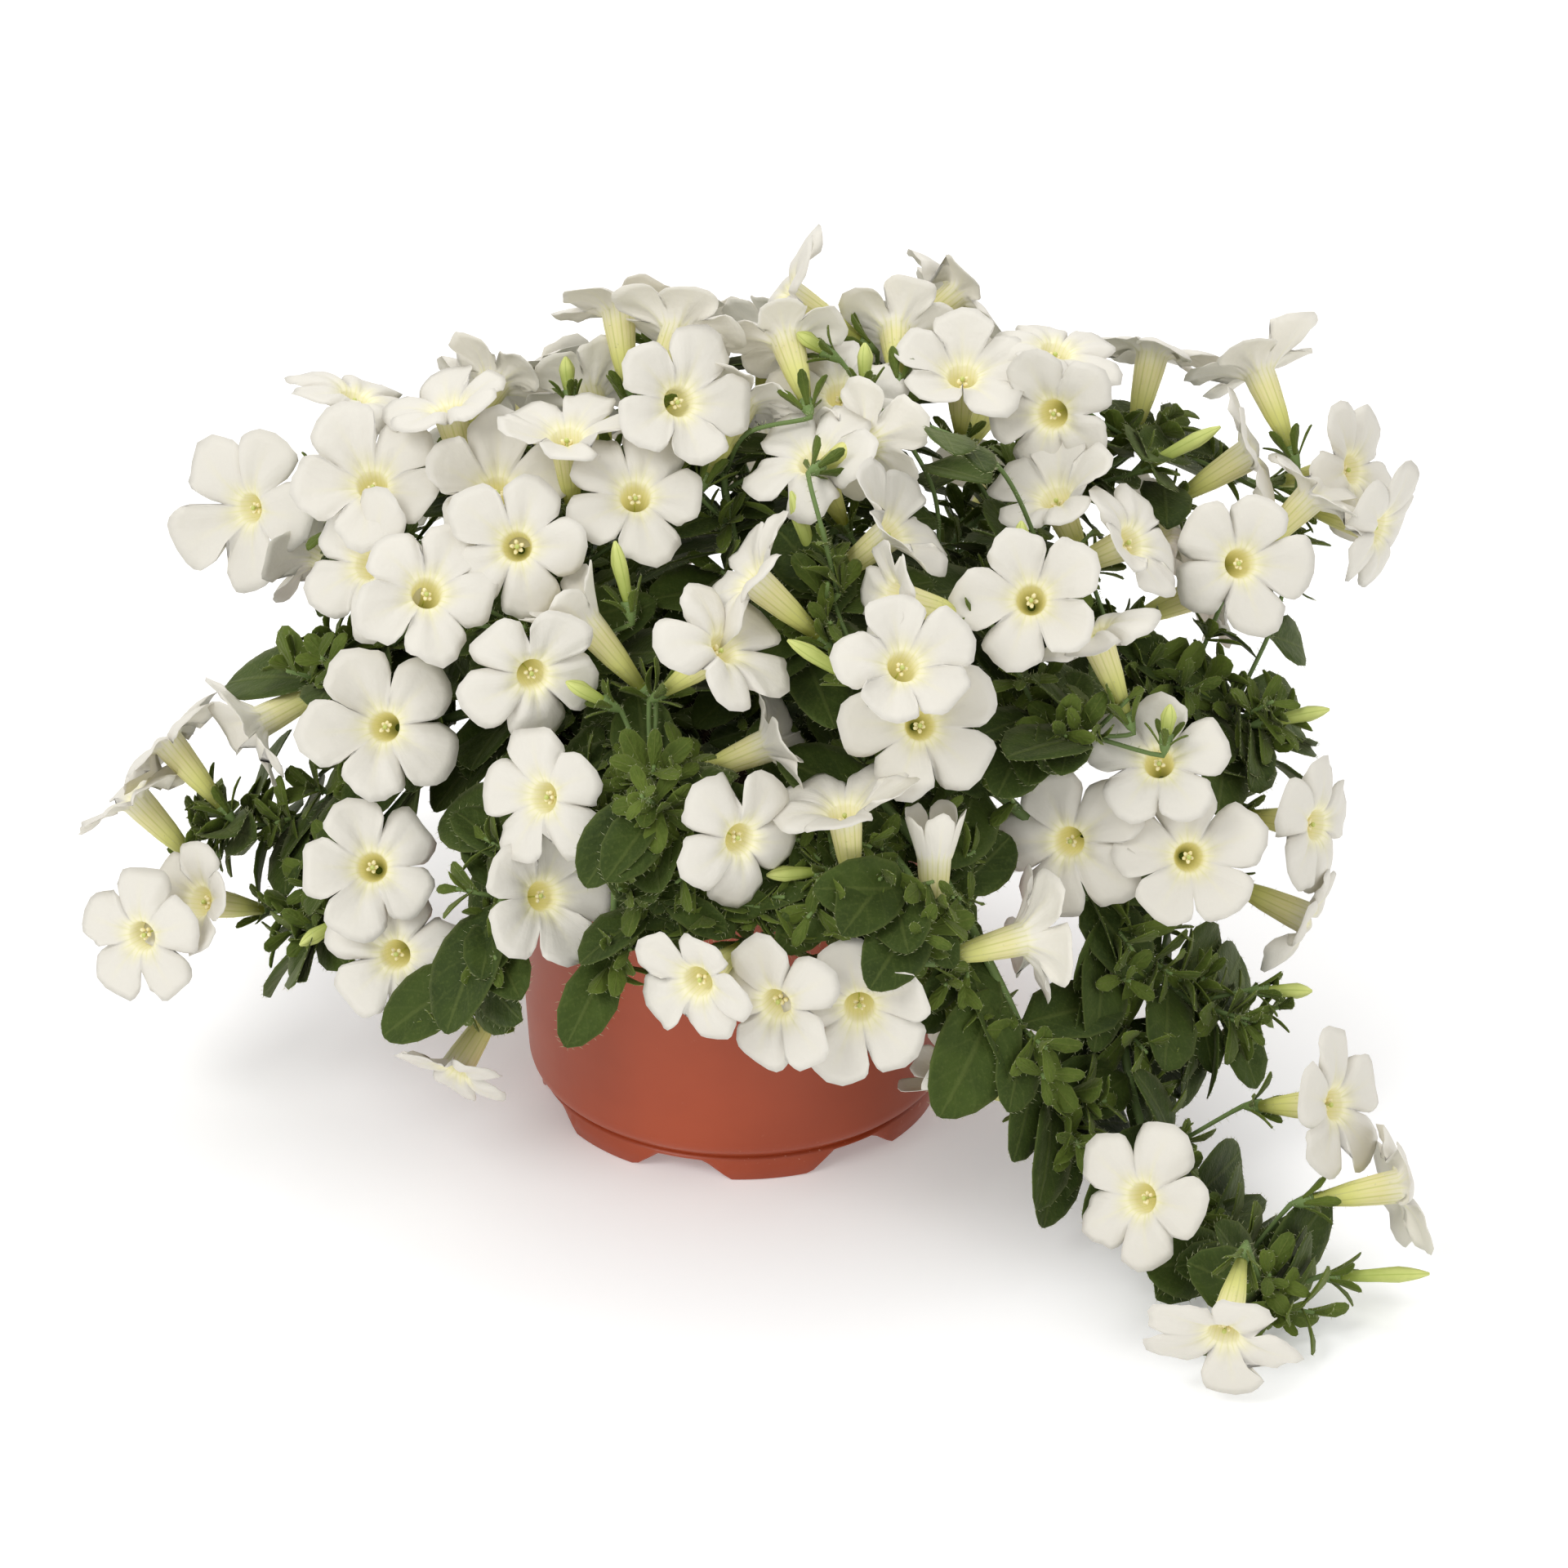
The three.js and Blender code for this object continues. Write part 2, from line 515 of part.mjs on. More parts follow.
// A trumpet in one piece: the limb's two faces, the tube and the open throat
function bloomSolid(frame) {
  const { lobes, width, open, mouth, axes } = frame;
  const place = (turn, radius, height) => mouth.clone()
    .addScaledVector(axes[0], radius * Math.cos(turn))
    .addScaledVector(axes[1], radius * Math.sin(turn))
    .addScaledVector(axes[2], height);
  const n = LOBE.count;
  const step = (2 * Math.PI) / n;
  const rim = lobes.flatMap(({ long, bend, lean }, k) => {
    const at = k * step;
    const side = radians(LOBE.shoulderAt);
    return [
      [at - step / 2, LOBE.notch, -LOBE.edge],
      [at + radians(lean) - side, long, bend],
      [at + radians(lean) + side, long, bend],
    ];
  });
  const front = rim.map(([turn, reach, lift]) => {
    const [radius, height] = flare(reach, width, open);
    return place(turn, radius, height + lift * open);
  });
  const back = rim.map(([turn, reach, lift]) => {
    const [radius, height] = flare(reach, width, open);
    const [inner, lower] = flare(reach - LIMB_STEP, width, open);
    const run = Math.hypot(radius - inner, height - lower);
    const out = (height - lower) / run;
    const down = (radius - inner) / run;
    return place(turn, radius + BLOOM.blade * out, height + lift * open - BLOOM.blade * down);
  });
  const ring = (radius, height) => lobes.map((_, k) => place((k - 0.5) * step, radius, height));
  const mouthRing = ring(BLOOM.mouth, 0);
  const neckRing = ring(BLOOM.mouth + BLOOM.neck, -BLOOM.neck);
  const footRing = ring(BLOOM.tubeFoot, -BLOOM.tube);
  const vertices = [...front, ...back, ...mouthRing, ...neckRing, ...footRing, place(0, 0, -BLOOM.throat)];
  const [mouthAt, neckAt, footAt, throatAt] = [6, 7, 8, 9].map((rings) => rings * n);
  const isNotch = (i) => i % 3 === 0;
  const under = (i) => {
    if (i >= mouthAt) return i - mouthAt + neckAt;
    return isNotch(i) ? i : i + front.length;
  };
  const faces = [];
  for (let k = 0; k < n; k += 1) {
    const next = (k + 1) % n;
    const [notch, left, right, far] = [3 * k, 3 * k + 1, 3 * k + 2, 3 * next];
    const [here, there] = [mouthAt + k, mouthAt + next];
    const fan = [[notch, left, here], [left, there, here], [left, right, there], [right, far, there]];
    faces.push(...fan, ...fan.map(([a, b, c]) => [under(a), under(c), under(b)]));
    faces.push([notch, under(left), left]);
    faces.push([left, under(left), under(right)], [left, under(right), right]);
    faces.push([right, under(right), far]);
    faces.push([here, there, throatAt]);
    faces.push([neckAt + next, neckAt + k, footAt + k], [neckAt + next, footAt + k, footAt + next]);
  }
  for (let k = 1; k + 1 < n; k += 1) faces.push([footAt, footAt + k + 1, footAt + k]);
  return solidOf(vertices, faces);
}

function curvePoints(controls, count) {
  const curve = new THREE.CatmullRomCurve3(controls, false, "catmullrom", 0.5);
  return Array.from({ length: count + 1 }, (_, i) => curve.getPoint(i / count));
}

const lengthOf = (points) => points.slice(1).reduce((sum, p, i) => sum + p.distanceTo(points[i]), 0);

// Shifts that a branch may take, past its root, to stay clear of the flowers
const BRANCH_SHIFTS = [[0, 0, 0], ...[4, 8, 12, 16].flatMap((far) => [
  [far, 0, 0], [-far, 0, 0], [0, -far, 0], [0, far, 0], [0, 0, far], [0, 0, -far],
])];

// The ways that a branch may go. The first joint that is clear of the soil, or of
// the branch that a fork grows from, is the first with a leaf.
function branchWays({ hole: [x, y] }, { fork, at, points }, branches) {
  const rooted = fork === undefined;
  const roots = rooted
    ? [vec(x, y, SOIL.top - SOIL.holeDepth + CLEAR), vec(x, y, SOIL.top + 2 * SOIL.crown)]
    : [branches[fork].path[Math.round(at * (branches[fork].path.length - 1))].clone()];
  return BRANCH_SHIFTS.map(([dx, dy, dz]) => {
    const controls = [...roots, ...points.map(([a, b, c]) => vec(a + dx, b + dy, c + dz))];
    const path = curvePoints(controls, Math.max(3, Math.round(lengthOf(controls) / STEM.step)));
    if (rooted) path.splice(1, 0, vec(x, y, SOIL.top + SOIL.crown + CLEAR));
    return { path, rooted, first: rooted ? 3 : 1 };
  });
}

function branchSolid({ path, rooted }, swell = 0) {
  const radii = path.map((_, i) => lerp(rooted ? STEM.foot : STEM.fork, STEM.tip, i / (path.length - 1)));
  if (rooted) radii[1] = STEM.foot;
  return tube(path, radii.map((radius) => radius + swell), STEM.sides);
}

// Leaves: an outline round a mid-rib that arches down, the halves folded up
const LEAF_OUTLINE = [[0, 0], [0.26, 0.4], [0.7, 0.46], [1, 0]];
const LEAF_RIB = 0.52;

function leafSolid({ root, along, normal, length, width, droop, fold }, swell = 0) {
  const side = normal.clone().cross(along);
  const thick = LEAF.thick / 2 + swell;
  const place = (x, y, lift) => root.clone()
    .addScaledVector(along, x * length)
    .addScaledVector(side, y * width)
    .addScaledVector(normal, fold * Math.abs(y) * width - droop * length * x * x + lift);
  const [, low, high] = LEAF_OUTLINE;
  const inner = [low, high, [high[0], -high[1]], [low[0], -low[1]], [LEAF_RIB, 0]];
  const sheet = (lift) => inner.map(([x, y]) => place(x, y, lift));
  const [base, tip, top, bottom] = [0, 1, 2, 7];
  const fan = (at) => [[base, at, at + 4], [at, at + 1, at + 4], [at + 1, tip, at + 4],
    [tip, at + 2, at + 4], [at + 2, at + 3, at + 4], [at + 3, base, at + 4]];
  const faces = [...fan(bottom), ...fan(top).map(([a, b, c]) => [a, c, b])];
  faces.push([base, top, bottom], [top, top + 1, bottom + 1], [top, bottom + 1, bottom],
    [top + 1, tip, bottom + 1], [tip, top + 2, bottom + 2], [top + 2, top + 3, bottom + 3],
    [top + 2, bottom + 3, bottom + 2], [top + 3, base, bottom + 3]);
  return solidOf([place(0, 0, 0), place(1, 0, 0), ...sheet(thick), ...sheet(-thick)], faces);
}

// Which way is out of the plant at a place, tipped a little to the light
function outward(place) {
  const out = place.clone().sub(vec(0, 0, OUTWARD.from)).normalize();
  return out.multiplyScalar(OUTWARD.lean).add(vec(0, 0, OUTWARD.light)).normalize();
}

// Turns that a leaf may take to stay clear of its neighbours, in degrees about
// the outward direction, each with a lift off the plant and a size
const LEAF_TURNS = [1, 0.78].flatMap((size) => [
  [0, 0, size], [26, 0.15, size], [-26, 0.15, size], [0, 0.5, size], [58, 0.1, size],
  [-58, 0.1, size], [100, 0.2, size], [150, 0.3, size], [-110, 0.2, size], [0, 0.9, size],
]);

function leafWays(root, tangent, hand, draw) {
  const normal = outward(root);
  const spread = radians(within(LEAF.spread, draw));
  const rise = within(LEAF.rise, draw);
  const length = LEAF.length * within(LEAF.long, draw);
  const width = LEAF.width * (length / LEAF.length) * within(LEAF.broad, draw);
  const droop = within(LEAF.droop, draw);
  const fold = within(LEAF.fold, draw);
  const side = normal.clone().cross(tangent).normalize();
  const heading = tangent.clone().multiplyScalar(Math.cos(spread))
    .addScaledVector(side, hand * Math.sin(spread));
  heading.addScaledVector(normal, -heading.dot(normal)).normalize();
  return LEAF_TURNS.map(([turn, lift, size]) => {
    const flat = heading.clone().applyAxisAngle(normal, hand * radians(turn));
    const along = flat.addScaledVector(normal, rise + lift).normalize();
    const face = normal.clone().addScaledVector(along, -normal.dot(along)).normalize();
    return { root, along, normal: face, length: length * size, width: width * size, droop, fold };
  });
}

// Stalks: from a stem's joint to the calyx, straight behind the flower at the
// end. A stalk goes straight, or takes a bend to one side to stay clear.
function stalkPaths(joints, seat, facing) {
  const heel = seat.clone().addScaledVector(facing, -STALK.calyxLength);
  const behind = heel.clone().addScaledVector(facing, -STALK.behind);
  const near = joints
    .map((joint) => ({ ...joint, far: joint.place.distanceTo(behind) }))
    .filter(({ far }) => far < STALK.reach)
    .sort((a, b) => a.far - b.far);
  return STALK.bends.flatMap((bend) => near.flatMap(({ stem, place }) => {
    if (bend === 0) return [{ stem, points: [place, heel, seat] }];
    const [across, up] = axesOf(heel.clone().sub(place).normalize(), 0);
    return Array.from({ length: STALK.ways }, (_, k) => {
      const turn = (2 * Math.PI * k) / STALK.ways;
      const middle = place.clone().lerp(heel, 0.5)
        .addScaledVector(across, bend * Math.cos(turn))
        .addScaledVector(up, bend * Math.sin(turn));
      return { stem, points: [place, middle, heel, seat] };
    });
  }));
}

function stalkSolid({ points }, swell = 0) {
  const radii = [...points.slice(2).map(() => STALK.foot), STALK.neck, STALK.calyx];
  return tube(points, radii.map((radius) => radius + swell), STALK.sides);
}

function budSolid({ points }, facing, length, swell = 0) {
  const base = points[points.length - 1];
  const path = [...points, base.clone().addScaledVector(facing, length * BUD.widest),
    base.clone().addScaledVector(facing, length)];
  const radii = [...points.slice(2).map(() => STALK.foot), STALK.neck, BUD.calyx, BUD.radius, BUD.point];
  return tube(path, radii.map((r) => r + swell), BUD.sides);
}

// What is placed so far, by the node that holds it
class Placed {
  constructor() {
    this.items = [];
  }

  add(node, solid, kind = "body") {
    this.items.push({ node, solid, kind, box: solid.boundingBox() });
  }

  // A solid stays above the ground. It may cross its own node, but for the kinds named.
  isFree(node, solid, alsoOwn = []) {
    const box = solid.boundingBox();
    return box.min[2] > 0 && this.items.every((item) => {
      if (item.node === node && !alsoOwn.includes(item.kind)) return true;
      const apart = [0, 1, 2].some((k) => item.box.max[k] < box.min[k] || item.box.min[k] > box.max[k]);
      return apart || item.solid.intersect(solid).volume() < TOUCH;
    });
  }

  nodes() {
    return [...new Set(this.items.map((item) => item.node))];
  }

  of(node) {
    return this.items.filter((item) => item.node === node).map((item) => item.solid);
  }
}

function placeBlooms(placed) {
  const fromBack = ([x, y, z, faceX, faceY, faceZ, width, open]) => [
    ...toView(x, y, z), ...toView(faceX, faceY, faceZ), width, open,
  ];
  const rows = [
    ...Object.entries(BLOOMS),
    ...Object.entries(BACK_BLOOMS).map(([node, group]) => [node, group.map(fromBack)]),
  ];
  return rows.flatMap(([node, group]) => group.map((row) => {
    const frame = bloomFrame(row);
    placed.add(node, bloomSolid(frame));
    return frame;
  }));
}

// The stems' branches, and the joints on them that stalks may grow from
function placeStems(placed) {
  const branches = Object.entries(LEAFY_STEMS).flatMap(([stem, plan]) => plan.branches
    .reduce((grown, branch) => {
      const way = branchWays(plan, branch, grown)
        .find((path) => placed.isFree(stem, branchSolid(path, CLEAR)));
      if (!way) throw new Error("a branch has no room");
      placed.add(stem, branchSolid(way));
      return [...grown, { stem, ...way }];
    }, []));
  const joints = branches.flatMap(({ stem, path, first }) => {
    const along = path.slice(first, -1)
      .map((place, i) => place.clone().lerp(path[first + i + 1], STALK.joint));
    const [before, tip] = path.slice(-2);
    return [...along, before.clone().lerp(tip, STALK.tipJoint)].map((place) => ({ stem, place }));
  });
  return { branches, joints };
}

function placeStalks(placed, joints, frames) {
  frames.forEach(({ seat, facing }) => {
    const way = stalkPaths(joints, seat, facing)
      .find((path) => placed.isFree(path.stem, stalkSolid(path, CLEAR)));
    if (!way) throw new Error("a bloom has no room for its stalk");
    placed.add(way.stem, stalkSolid(way), "stalk");
  });
}

// A bud that has no way to a stem where it is moves a little in depth
function placeBuds(placed, joints) {
  BUDS.forEach(([right, up, near, faceRight, faceUp, faceNear, length]) => {
    const facing = fromView(faceRight, faceUp, faceNear).normalize();
    const way = BUD.shifts
      .flatMap((shift) => stalkPaths(joints, fromView(right, up, near + shift), facing))
      .find((path) => placed.isFree(path.stem, budSolid(path, facing, length, CLEAR)));
    if (!way) throw new Error("a bud has no room for its stalk");
    placed.add(way.stem, budSolid(way, facing, length), "stalk");
  });
}

// One leaf at each joint, on either side in turn, where there is room for one
function placeLeaves(placed, branches) {
  branches.forEach(({ stem, path, first }, number) => {
    const draw = dice(SEED + 131 * (number + 1));
    for (let i = first; i + 1 < path.length; i += 1) {
      const root = path[i].clone().lerp(path[i + 1], LEAF.joint);
      const tangent = path[i + 1].clone().sub(path[i]).normalize();
      const leaf = leafWays(root, tangent, i % 2 ? 1 : -1, draw)
        .find((way) => placed.isFree(stem, leafSolid(way, CLEAR), ["leaf", "stalk"]));
      if (leaf) placed.add(stem, leafSolid(leaf), "leaf");
    }
  });
}

const placed = new Placed();
placed.add("pot", potSolid());
placed.add("soil", soilSolid());
const frames = placeBlooms(placed);
const { branches, joints } = placeStems(placed);
placeStalks(placed, joints, frames);
placeBuds(placed, joints);
placeLeaves(placed, branches);

const finishOf = (node) => FINISHES[node] ?? (node.startsWith("leafy") ? FINISHES.leaf : FINISHES.bloom);
const group = new THREE.Group();
placed.nodes().forEach((node) => group.add(part(node, joined(placed.of(node)), finishOf(node))));

export default group;
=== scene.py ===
"""A small-flowered white petunia in its terracotta-coloured pot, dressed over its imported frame.

The frame is in metres, +Z up, with its origin under the pot's centre and -Y towards
the viewer. Sizes and places here are in millimetres, and a mesh is turned into metres
when it is made. Places of flowers and buds are given as seen from the front, 29
degrees above the ground: to the right, up and towards the viewer.
"""

import logging
import math
from dataclasses import dataclass, field
from enum import Enum
from functools import cache
from typing import Callable, Iterable, Iterator, Optional, Sequence

import bmesh
import bpy
import numpy as np
from mathutils import Matrix, Vector
from mathutils.kdtree import KDTree

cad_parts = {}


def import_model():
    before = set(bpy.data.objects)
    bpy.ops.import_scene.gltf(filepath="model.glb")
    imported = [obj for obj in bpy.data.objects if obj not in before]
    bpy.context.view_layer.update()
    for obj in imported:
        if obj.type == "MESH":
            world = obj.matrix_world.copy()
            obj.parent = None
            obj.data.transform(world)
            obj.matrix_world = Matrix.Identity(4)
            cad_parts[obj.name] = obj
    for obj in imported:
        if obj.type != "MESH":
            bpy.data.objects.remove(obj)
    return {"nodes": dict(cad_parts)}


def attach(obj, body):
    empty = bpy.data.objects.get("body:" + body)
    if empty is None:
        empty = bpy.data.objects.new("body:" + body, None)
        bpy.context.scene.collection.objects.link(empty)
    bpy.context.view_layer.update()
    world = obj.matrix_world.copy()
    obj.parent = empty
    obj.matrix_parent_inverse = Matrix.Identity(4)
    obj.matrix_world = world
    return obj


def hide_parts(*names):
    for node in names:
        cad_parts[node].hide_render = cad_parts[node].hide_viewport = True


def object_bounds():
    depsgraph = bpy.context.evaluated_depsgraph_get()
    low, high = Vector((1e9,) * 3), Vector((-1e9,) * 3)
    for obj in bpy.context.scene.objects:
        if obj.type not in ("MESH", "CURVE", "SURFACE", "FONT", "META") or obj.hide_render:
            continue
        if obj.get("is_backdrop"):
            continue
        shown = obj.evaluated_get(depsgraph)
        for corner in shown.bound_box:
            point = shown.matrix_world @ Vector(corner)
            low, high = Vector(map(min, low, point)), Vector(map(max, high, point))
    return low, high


log = logging.getLogger("petunia")

Array = np.ndarray
Colour = tuple[float, float, float]
Socket = bpy.types.NodeSocket

MM = 0.001
SEED = 1407
WORD = 0xFFFFFFFF
VIEW_PITCH = math.radians(29)
VIEW_AIM = (13.84, 91.9)
VIEW_DISTANCE = 1700
UP = np.array([0.0, 0.0, 1.0])
EAST = np.array([1.0, 0.0, 0.0])

# The numbers of a bloom's finishes and of a leafy stem's
PETAL, ANTHER, STIGMA, PALE_HAIR = range(4)
STEM, LEAF, YOUNG_LEAF, BUD, DOWNY_HAIR = range(5)

# Each leafy stem: the hole in the soil that it stands in, its main branch by points from
# root to tip, and its forks, each with the part of the main branch that it starts at.
LEAFY_STEMS = {
    "leafy_stem_trailing_right": (
        (40, -24),
        [[58, -36, 140], [88, -50, 128], [112, -56, 98], [122, -62, 66], [130, -84, 34],
         [146, -108, 15], [158, -128, 10], [166, -146, 9]],
        (0.42, [[136, -56, 74], [150, -56, 60], [162, -54, 52]]),
    ),
    "leafy_stem_front_right": (
        (18, -42),
        [[34, -62, 138], [58, -84, 122], [78, -92, 86], [92, -94, 52], [100, -96, 36]],
        (0.3, [[50, -88, 116], [54, -96, 100]]),
    ),
    "leafy_stem_front_left": (
        (-20, -40),
        [[-36, -58, 138], [-58, -70, 124], [-70, -76, 96], [-76, -76, 70]],
        (0.22, [[-26, -76, 146], [-22, -92, 148]]),
    ),
    "leafy_stem_trailing_left": (
        (-44, -8),
        [[-60, -6, 136], [-92, -2, 128], [-122, 4, 102], [-146, 6, 84], [-164, 8, 84]],
        (0.5, [[-122, -16, 84], [-128, -30, 70]]),
    ),
    "leafy_stem_left": (
        (-38, 22),
        [[-54, 26, 142], [-84, 30, 158], [-112, 38, 166], [-136, 44, 168]],
        (0.3, [[-92, 8, 150], [-116, -4, 148], [-130, -8, 142]]),
    ),
    "leafy_stem_crown_left": (
        (-14, 4),
        [[-30, 2, 140], [-52, 4, 172], [-68, 12, 198], [-76, 20, 212]],
        (0.3, [[-50, -24, 162], [-62, -38, 178], [-70, -48, 184]]),
    ),
    "leafy_stem_crown": (
        (6, -14),
        [[10, -26, 142], [16, -40, 168], [24, -46, 186], [30, -48, 196]],
        (0.32, [[2, -14, 176], [-4, 2, 206], [-4, 10, 222]]),
    ),
    "leafy_stem_crown_back": (
        (8, 16),
        [[18, 26, 146], [32, 42, 180], [42, 58, 206], [46, 66, 218]],
        (0.35, [[4, 60, 176], [-16, 76, 198], [-24, 86, 206]]),
    ),
    "leafy_stem_right": (
        (40, 16),
        [[56, 22, 144], [84, 34, 168], [110, 46, 188], [128, 56, 198]],
        (0.3, [[90, 14, 148], [124, 6, 140], [150, 2, 128], [160, 0, 122]]),
    ),
    "leafy_stem_centre_right": (
        (28, -2),
        [[42, -8, 144], [64, -10, 166], [84, -12, 180], [98, -14, 188]],
        (0.3, [[68, -36, 148], [92, -48, 150], [106, -56, 152]]),
    ),
    "leafy_stem_back_left": (
        (-20, 42),
        [[-34, 58, 142], [-60, 84, 140], [-80, 108, 120], [-92, 128, 94], [-98, 150, 76],
         [-100, 168, 66]],
        (0.25, [[-62, 74, 166], [-80, 84, 178]]),
    ),
    "leafy_stem_back_right": (
        (20, 40),
        [[34, 56, 142], [60, 82, 142], [84, 100, 126], [104, 112, 104]],
        (0.25, [[30, 86, 146], [26, 112, 126], [24, 130, 96], [24, 140, 78]]),
        (0.3, [[74, 70, 160], [90, 78, 170]]),
    ),
}

# Flowers that touch are one piece. Each row: the limb's centre, the way it faces, the
# limb's width and, where it isn't flat, the part that it has opened.
BLOOMS = {
    "blooms_upper_left": [[-156, 178, 35, -0.6, -0.1, 0.7, 50]],
    "blooms_left_crown": [
        [-115, 213, 84, 0.35, 0.85, 0.3, 44], [-110, 183, 107, -0.05, 0.35, 0.9, 47],
        [-113, 158, 111, -0.55, 0.1, 0.8, 46], [-91, 149, 134, 0.15, 0.2, 0.95, 44],
        [-72, 181, 111, 0, 0.35, 0.9, 44], [-65, 162, 135, 0, 0, 1, 42],
        [-51, 198, 123, -0.05, 0.8, 0.6, 42],
    ],
    "bloom_left_top": [[-88, 208, 103, -0.25, 0.9, 0.3, 40]],
    "bloom_left_back": [[-73, 217, 73, 0.4, 0.7, -0.5, 40]],
    "blooms_crown_left": [
        [-17, 231, 100, 0.3, 0.8, -0.4, 42], [-47, 213, 77, -0.25, 0.7, -0.6, 40],
        [-37, 239, 85, -0.12, 0.97, -0.25, 42],
    ],
    "bloom_crown_top": [[12, 243, 81, -0.8, 0.5, 0.2, 46]],
    "blooms_crown": [
        [-30, 178, 127, 0.05, 0.25, 0.95, 43], [-16, 206, 123, 0.35, 0.1, 0.9, 44],
        [3, 210, 100, 0.4, 0.85, -0.3, 44], [14, 228, 96, -0.2, 0.7, -0.6, 38],
        [31, 211, 103, 0, 0.55, 0.8, 44], [21, 190, 126, -0.35, 0.65, 0.65, 44],
        [41, 195, 113, 0.5, 0.3, -0.7, 38],
    ],
    "bloom_crown_back": [[70, 246, 50, 0.7, 0.6, -0.2, 42]],
    "blooms_crown_right": [
        [48, 232, 69, 0, 0.5, -0.7, 36], [68, 218, 89, 0, 0.6, 0.75, 44],
        [98, 227, 80, 0.25, 0.72, 0.5, 42], [94, 203, 97, -0.25, -0.15, 0.92, 38],
        [94, 181, 101, -0.35, 0.7, 0.55, 40], [121, 166, 106, 0.7, 0.3, 0.6, 40],
    ],
    "bloom_right_crown": [[130, 230, 36, 0.2, 0.85, -0.1, 42]],
    "bloom_right_top": [[161, 224, 36, -0.35, 0.9, -0.2, 46]],
    "blooms_far_right": [
        [161, 196, 55, 0.8, 0.5, 0.2, 42], [179, 183, 59, 0.65, 0.65, 0.2, 40],
        [195, 191, 35, 0.7, 0.1, 0.5, 44], [202, 170, 51, 0.75, -0.25, 0.3, 42],
    ],
    "bloom_right": [[153, 159, 87, 0.15, 0, 0.98, 44]],
    "bloom_centre_right": [[104, 140, 130, -0.35, 0.85, 0.2, 40]],
    "blooms_centre": [
        [86, 146, 147, -0.05, 0.05, 1, 42], [48, 168, 135, 0.65, 0.5, 0.5, 40],
        [49, 127, 171, 0.2, 0.3, 0.9, 42], [42, 147, 154, -0.85, 0.2, 0.4, 34],
        [54, 109, 146, 0.05, 0, 1, 46], [13, 105, 133, 0.85, 0.35, 0.3, 36],
        [3, 75, 160, 0.5, -0.24, 0.8, 42], [31, 87, 153, -0.1, 0.85, 0.5, 46],
    ],
    "blooms_centre_left": [
        [-1, 133, 160, 0.65, 0.45, 0.55, 44], [2, 154, 149, -0.7, 0.6, 0.25, 42],
    ],
    "blooms_middle_left": [
        [-59, 123, 143, 0.25, -0.25, 0.9, 42], [-52, 148, 138, -0.6, 0.7, 0.2, 36, 0.4],
        [-59, 88, 143, -0.6, 0, 0.75, 42], [-56, 59, 131, 0.4, 0.05, 0.9, 42],
    ],
    "bloom_left": [[-106, 109, 115, -0.1, 0, 1, 45]],
    "bloom_left_side": [[-150, 109, 74, -0.85, -0.45, 0.2, 42]],
    "blooms_left_tip": [
        [-180, 108, 50, -0.62, 0.75, 0.1, 42], [-191, 90, 43, -0.65, 0.7, 0.2, 42],
    ],
    "blooms_left_low": [
        [-186, 44, 63, -0.45, -0.25, 0.85, 44], [-169, 56, 59, -0.6, 0.1, 0.7, 38],
    ],
    "blooms_left_hanging": [
        [-110, 67, 105, 0, 0.05, 1, 43], [-104, 40, 100, -0.15, -0.1, 0.98, 46],
    ],
    "bloom_pot_left": [[-88, 2, 85, -0.5, -0.8, 0.3, 38]],
    "bloom_half_open": [[58, 81, 140, 0, 0.95, 0.3, 26, 0.15]],
    "bloom_front_right": [[125, 99, 122, -0.1, 0.2, 0.97, 42]],
    "blooms_front_right": [
        [98, 74, 112, -0.3, -0.15, 0.95, 47], [135, 70, 114, 0, 0, 1, 45],
    ],
    "bloom_right_turned": [[88, 47, 126, 0.85, 0.2, -0.3, 42]],
    "blooms_right_side": [
        [179, 79, 82, 0.75, -0.1, 0.6, 44], [178, 49, 64, 0.85, -0.4, 0.2, 38],
    ],
    "blooms_over_pot": [
        [-13, 33, 155, -0.45, -0.35, 0.8, 38], [10, 26, 147, -0.4, -0.4, 0.8, 42],
        [36, 25, 142, 0, -0.35, 0.93, 43],
    ],
    "bloom_long_trumpet": [[57, 9, 105, -0.85, 0.35, 0.3, 30, 0.35]],
    "bloom_trailing_left": [[117, -30, 139, -0.55, 0, 0.8, 43]],
    "bloom_trailing_tip": [[139, -69, 176, -0.25, -0.75, 0.6, 45]],
    "bloom_trailing_right": [[180, -3, 126, 0.75, 0.05, 0.6, 46]],
    "bloom_trailing_side": [[200, -27, 120, 0.95, 0.15, -0.1, 42]],
}

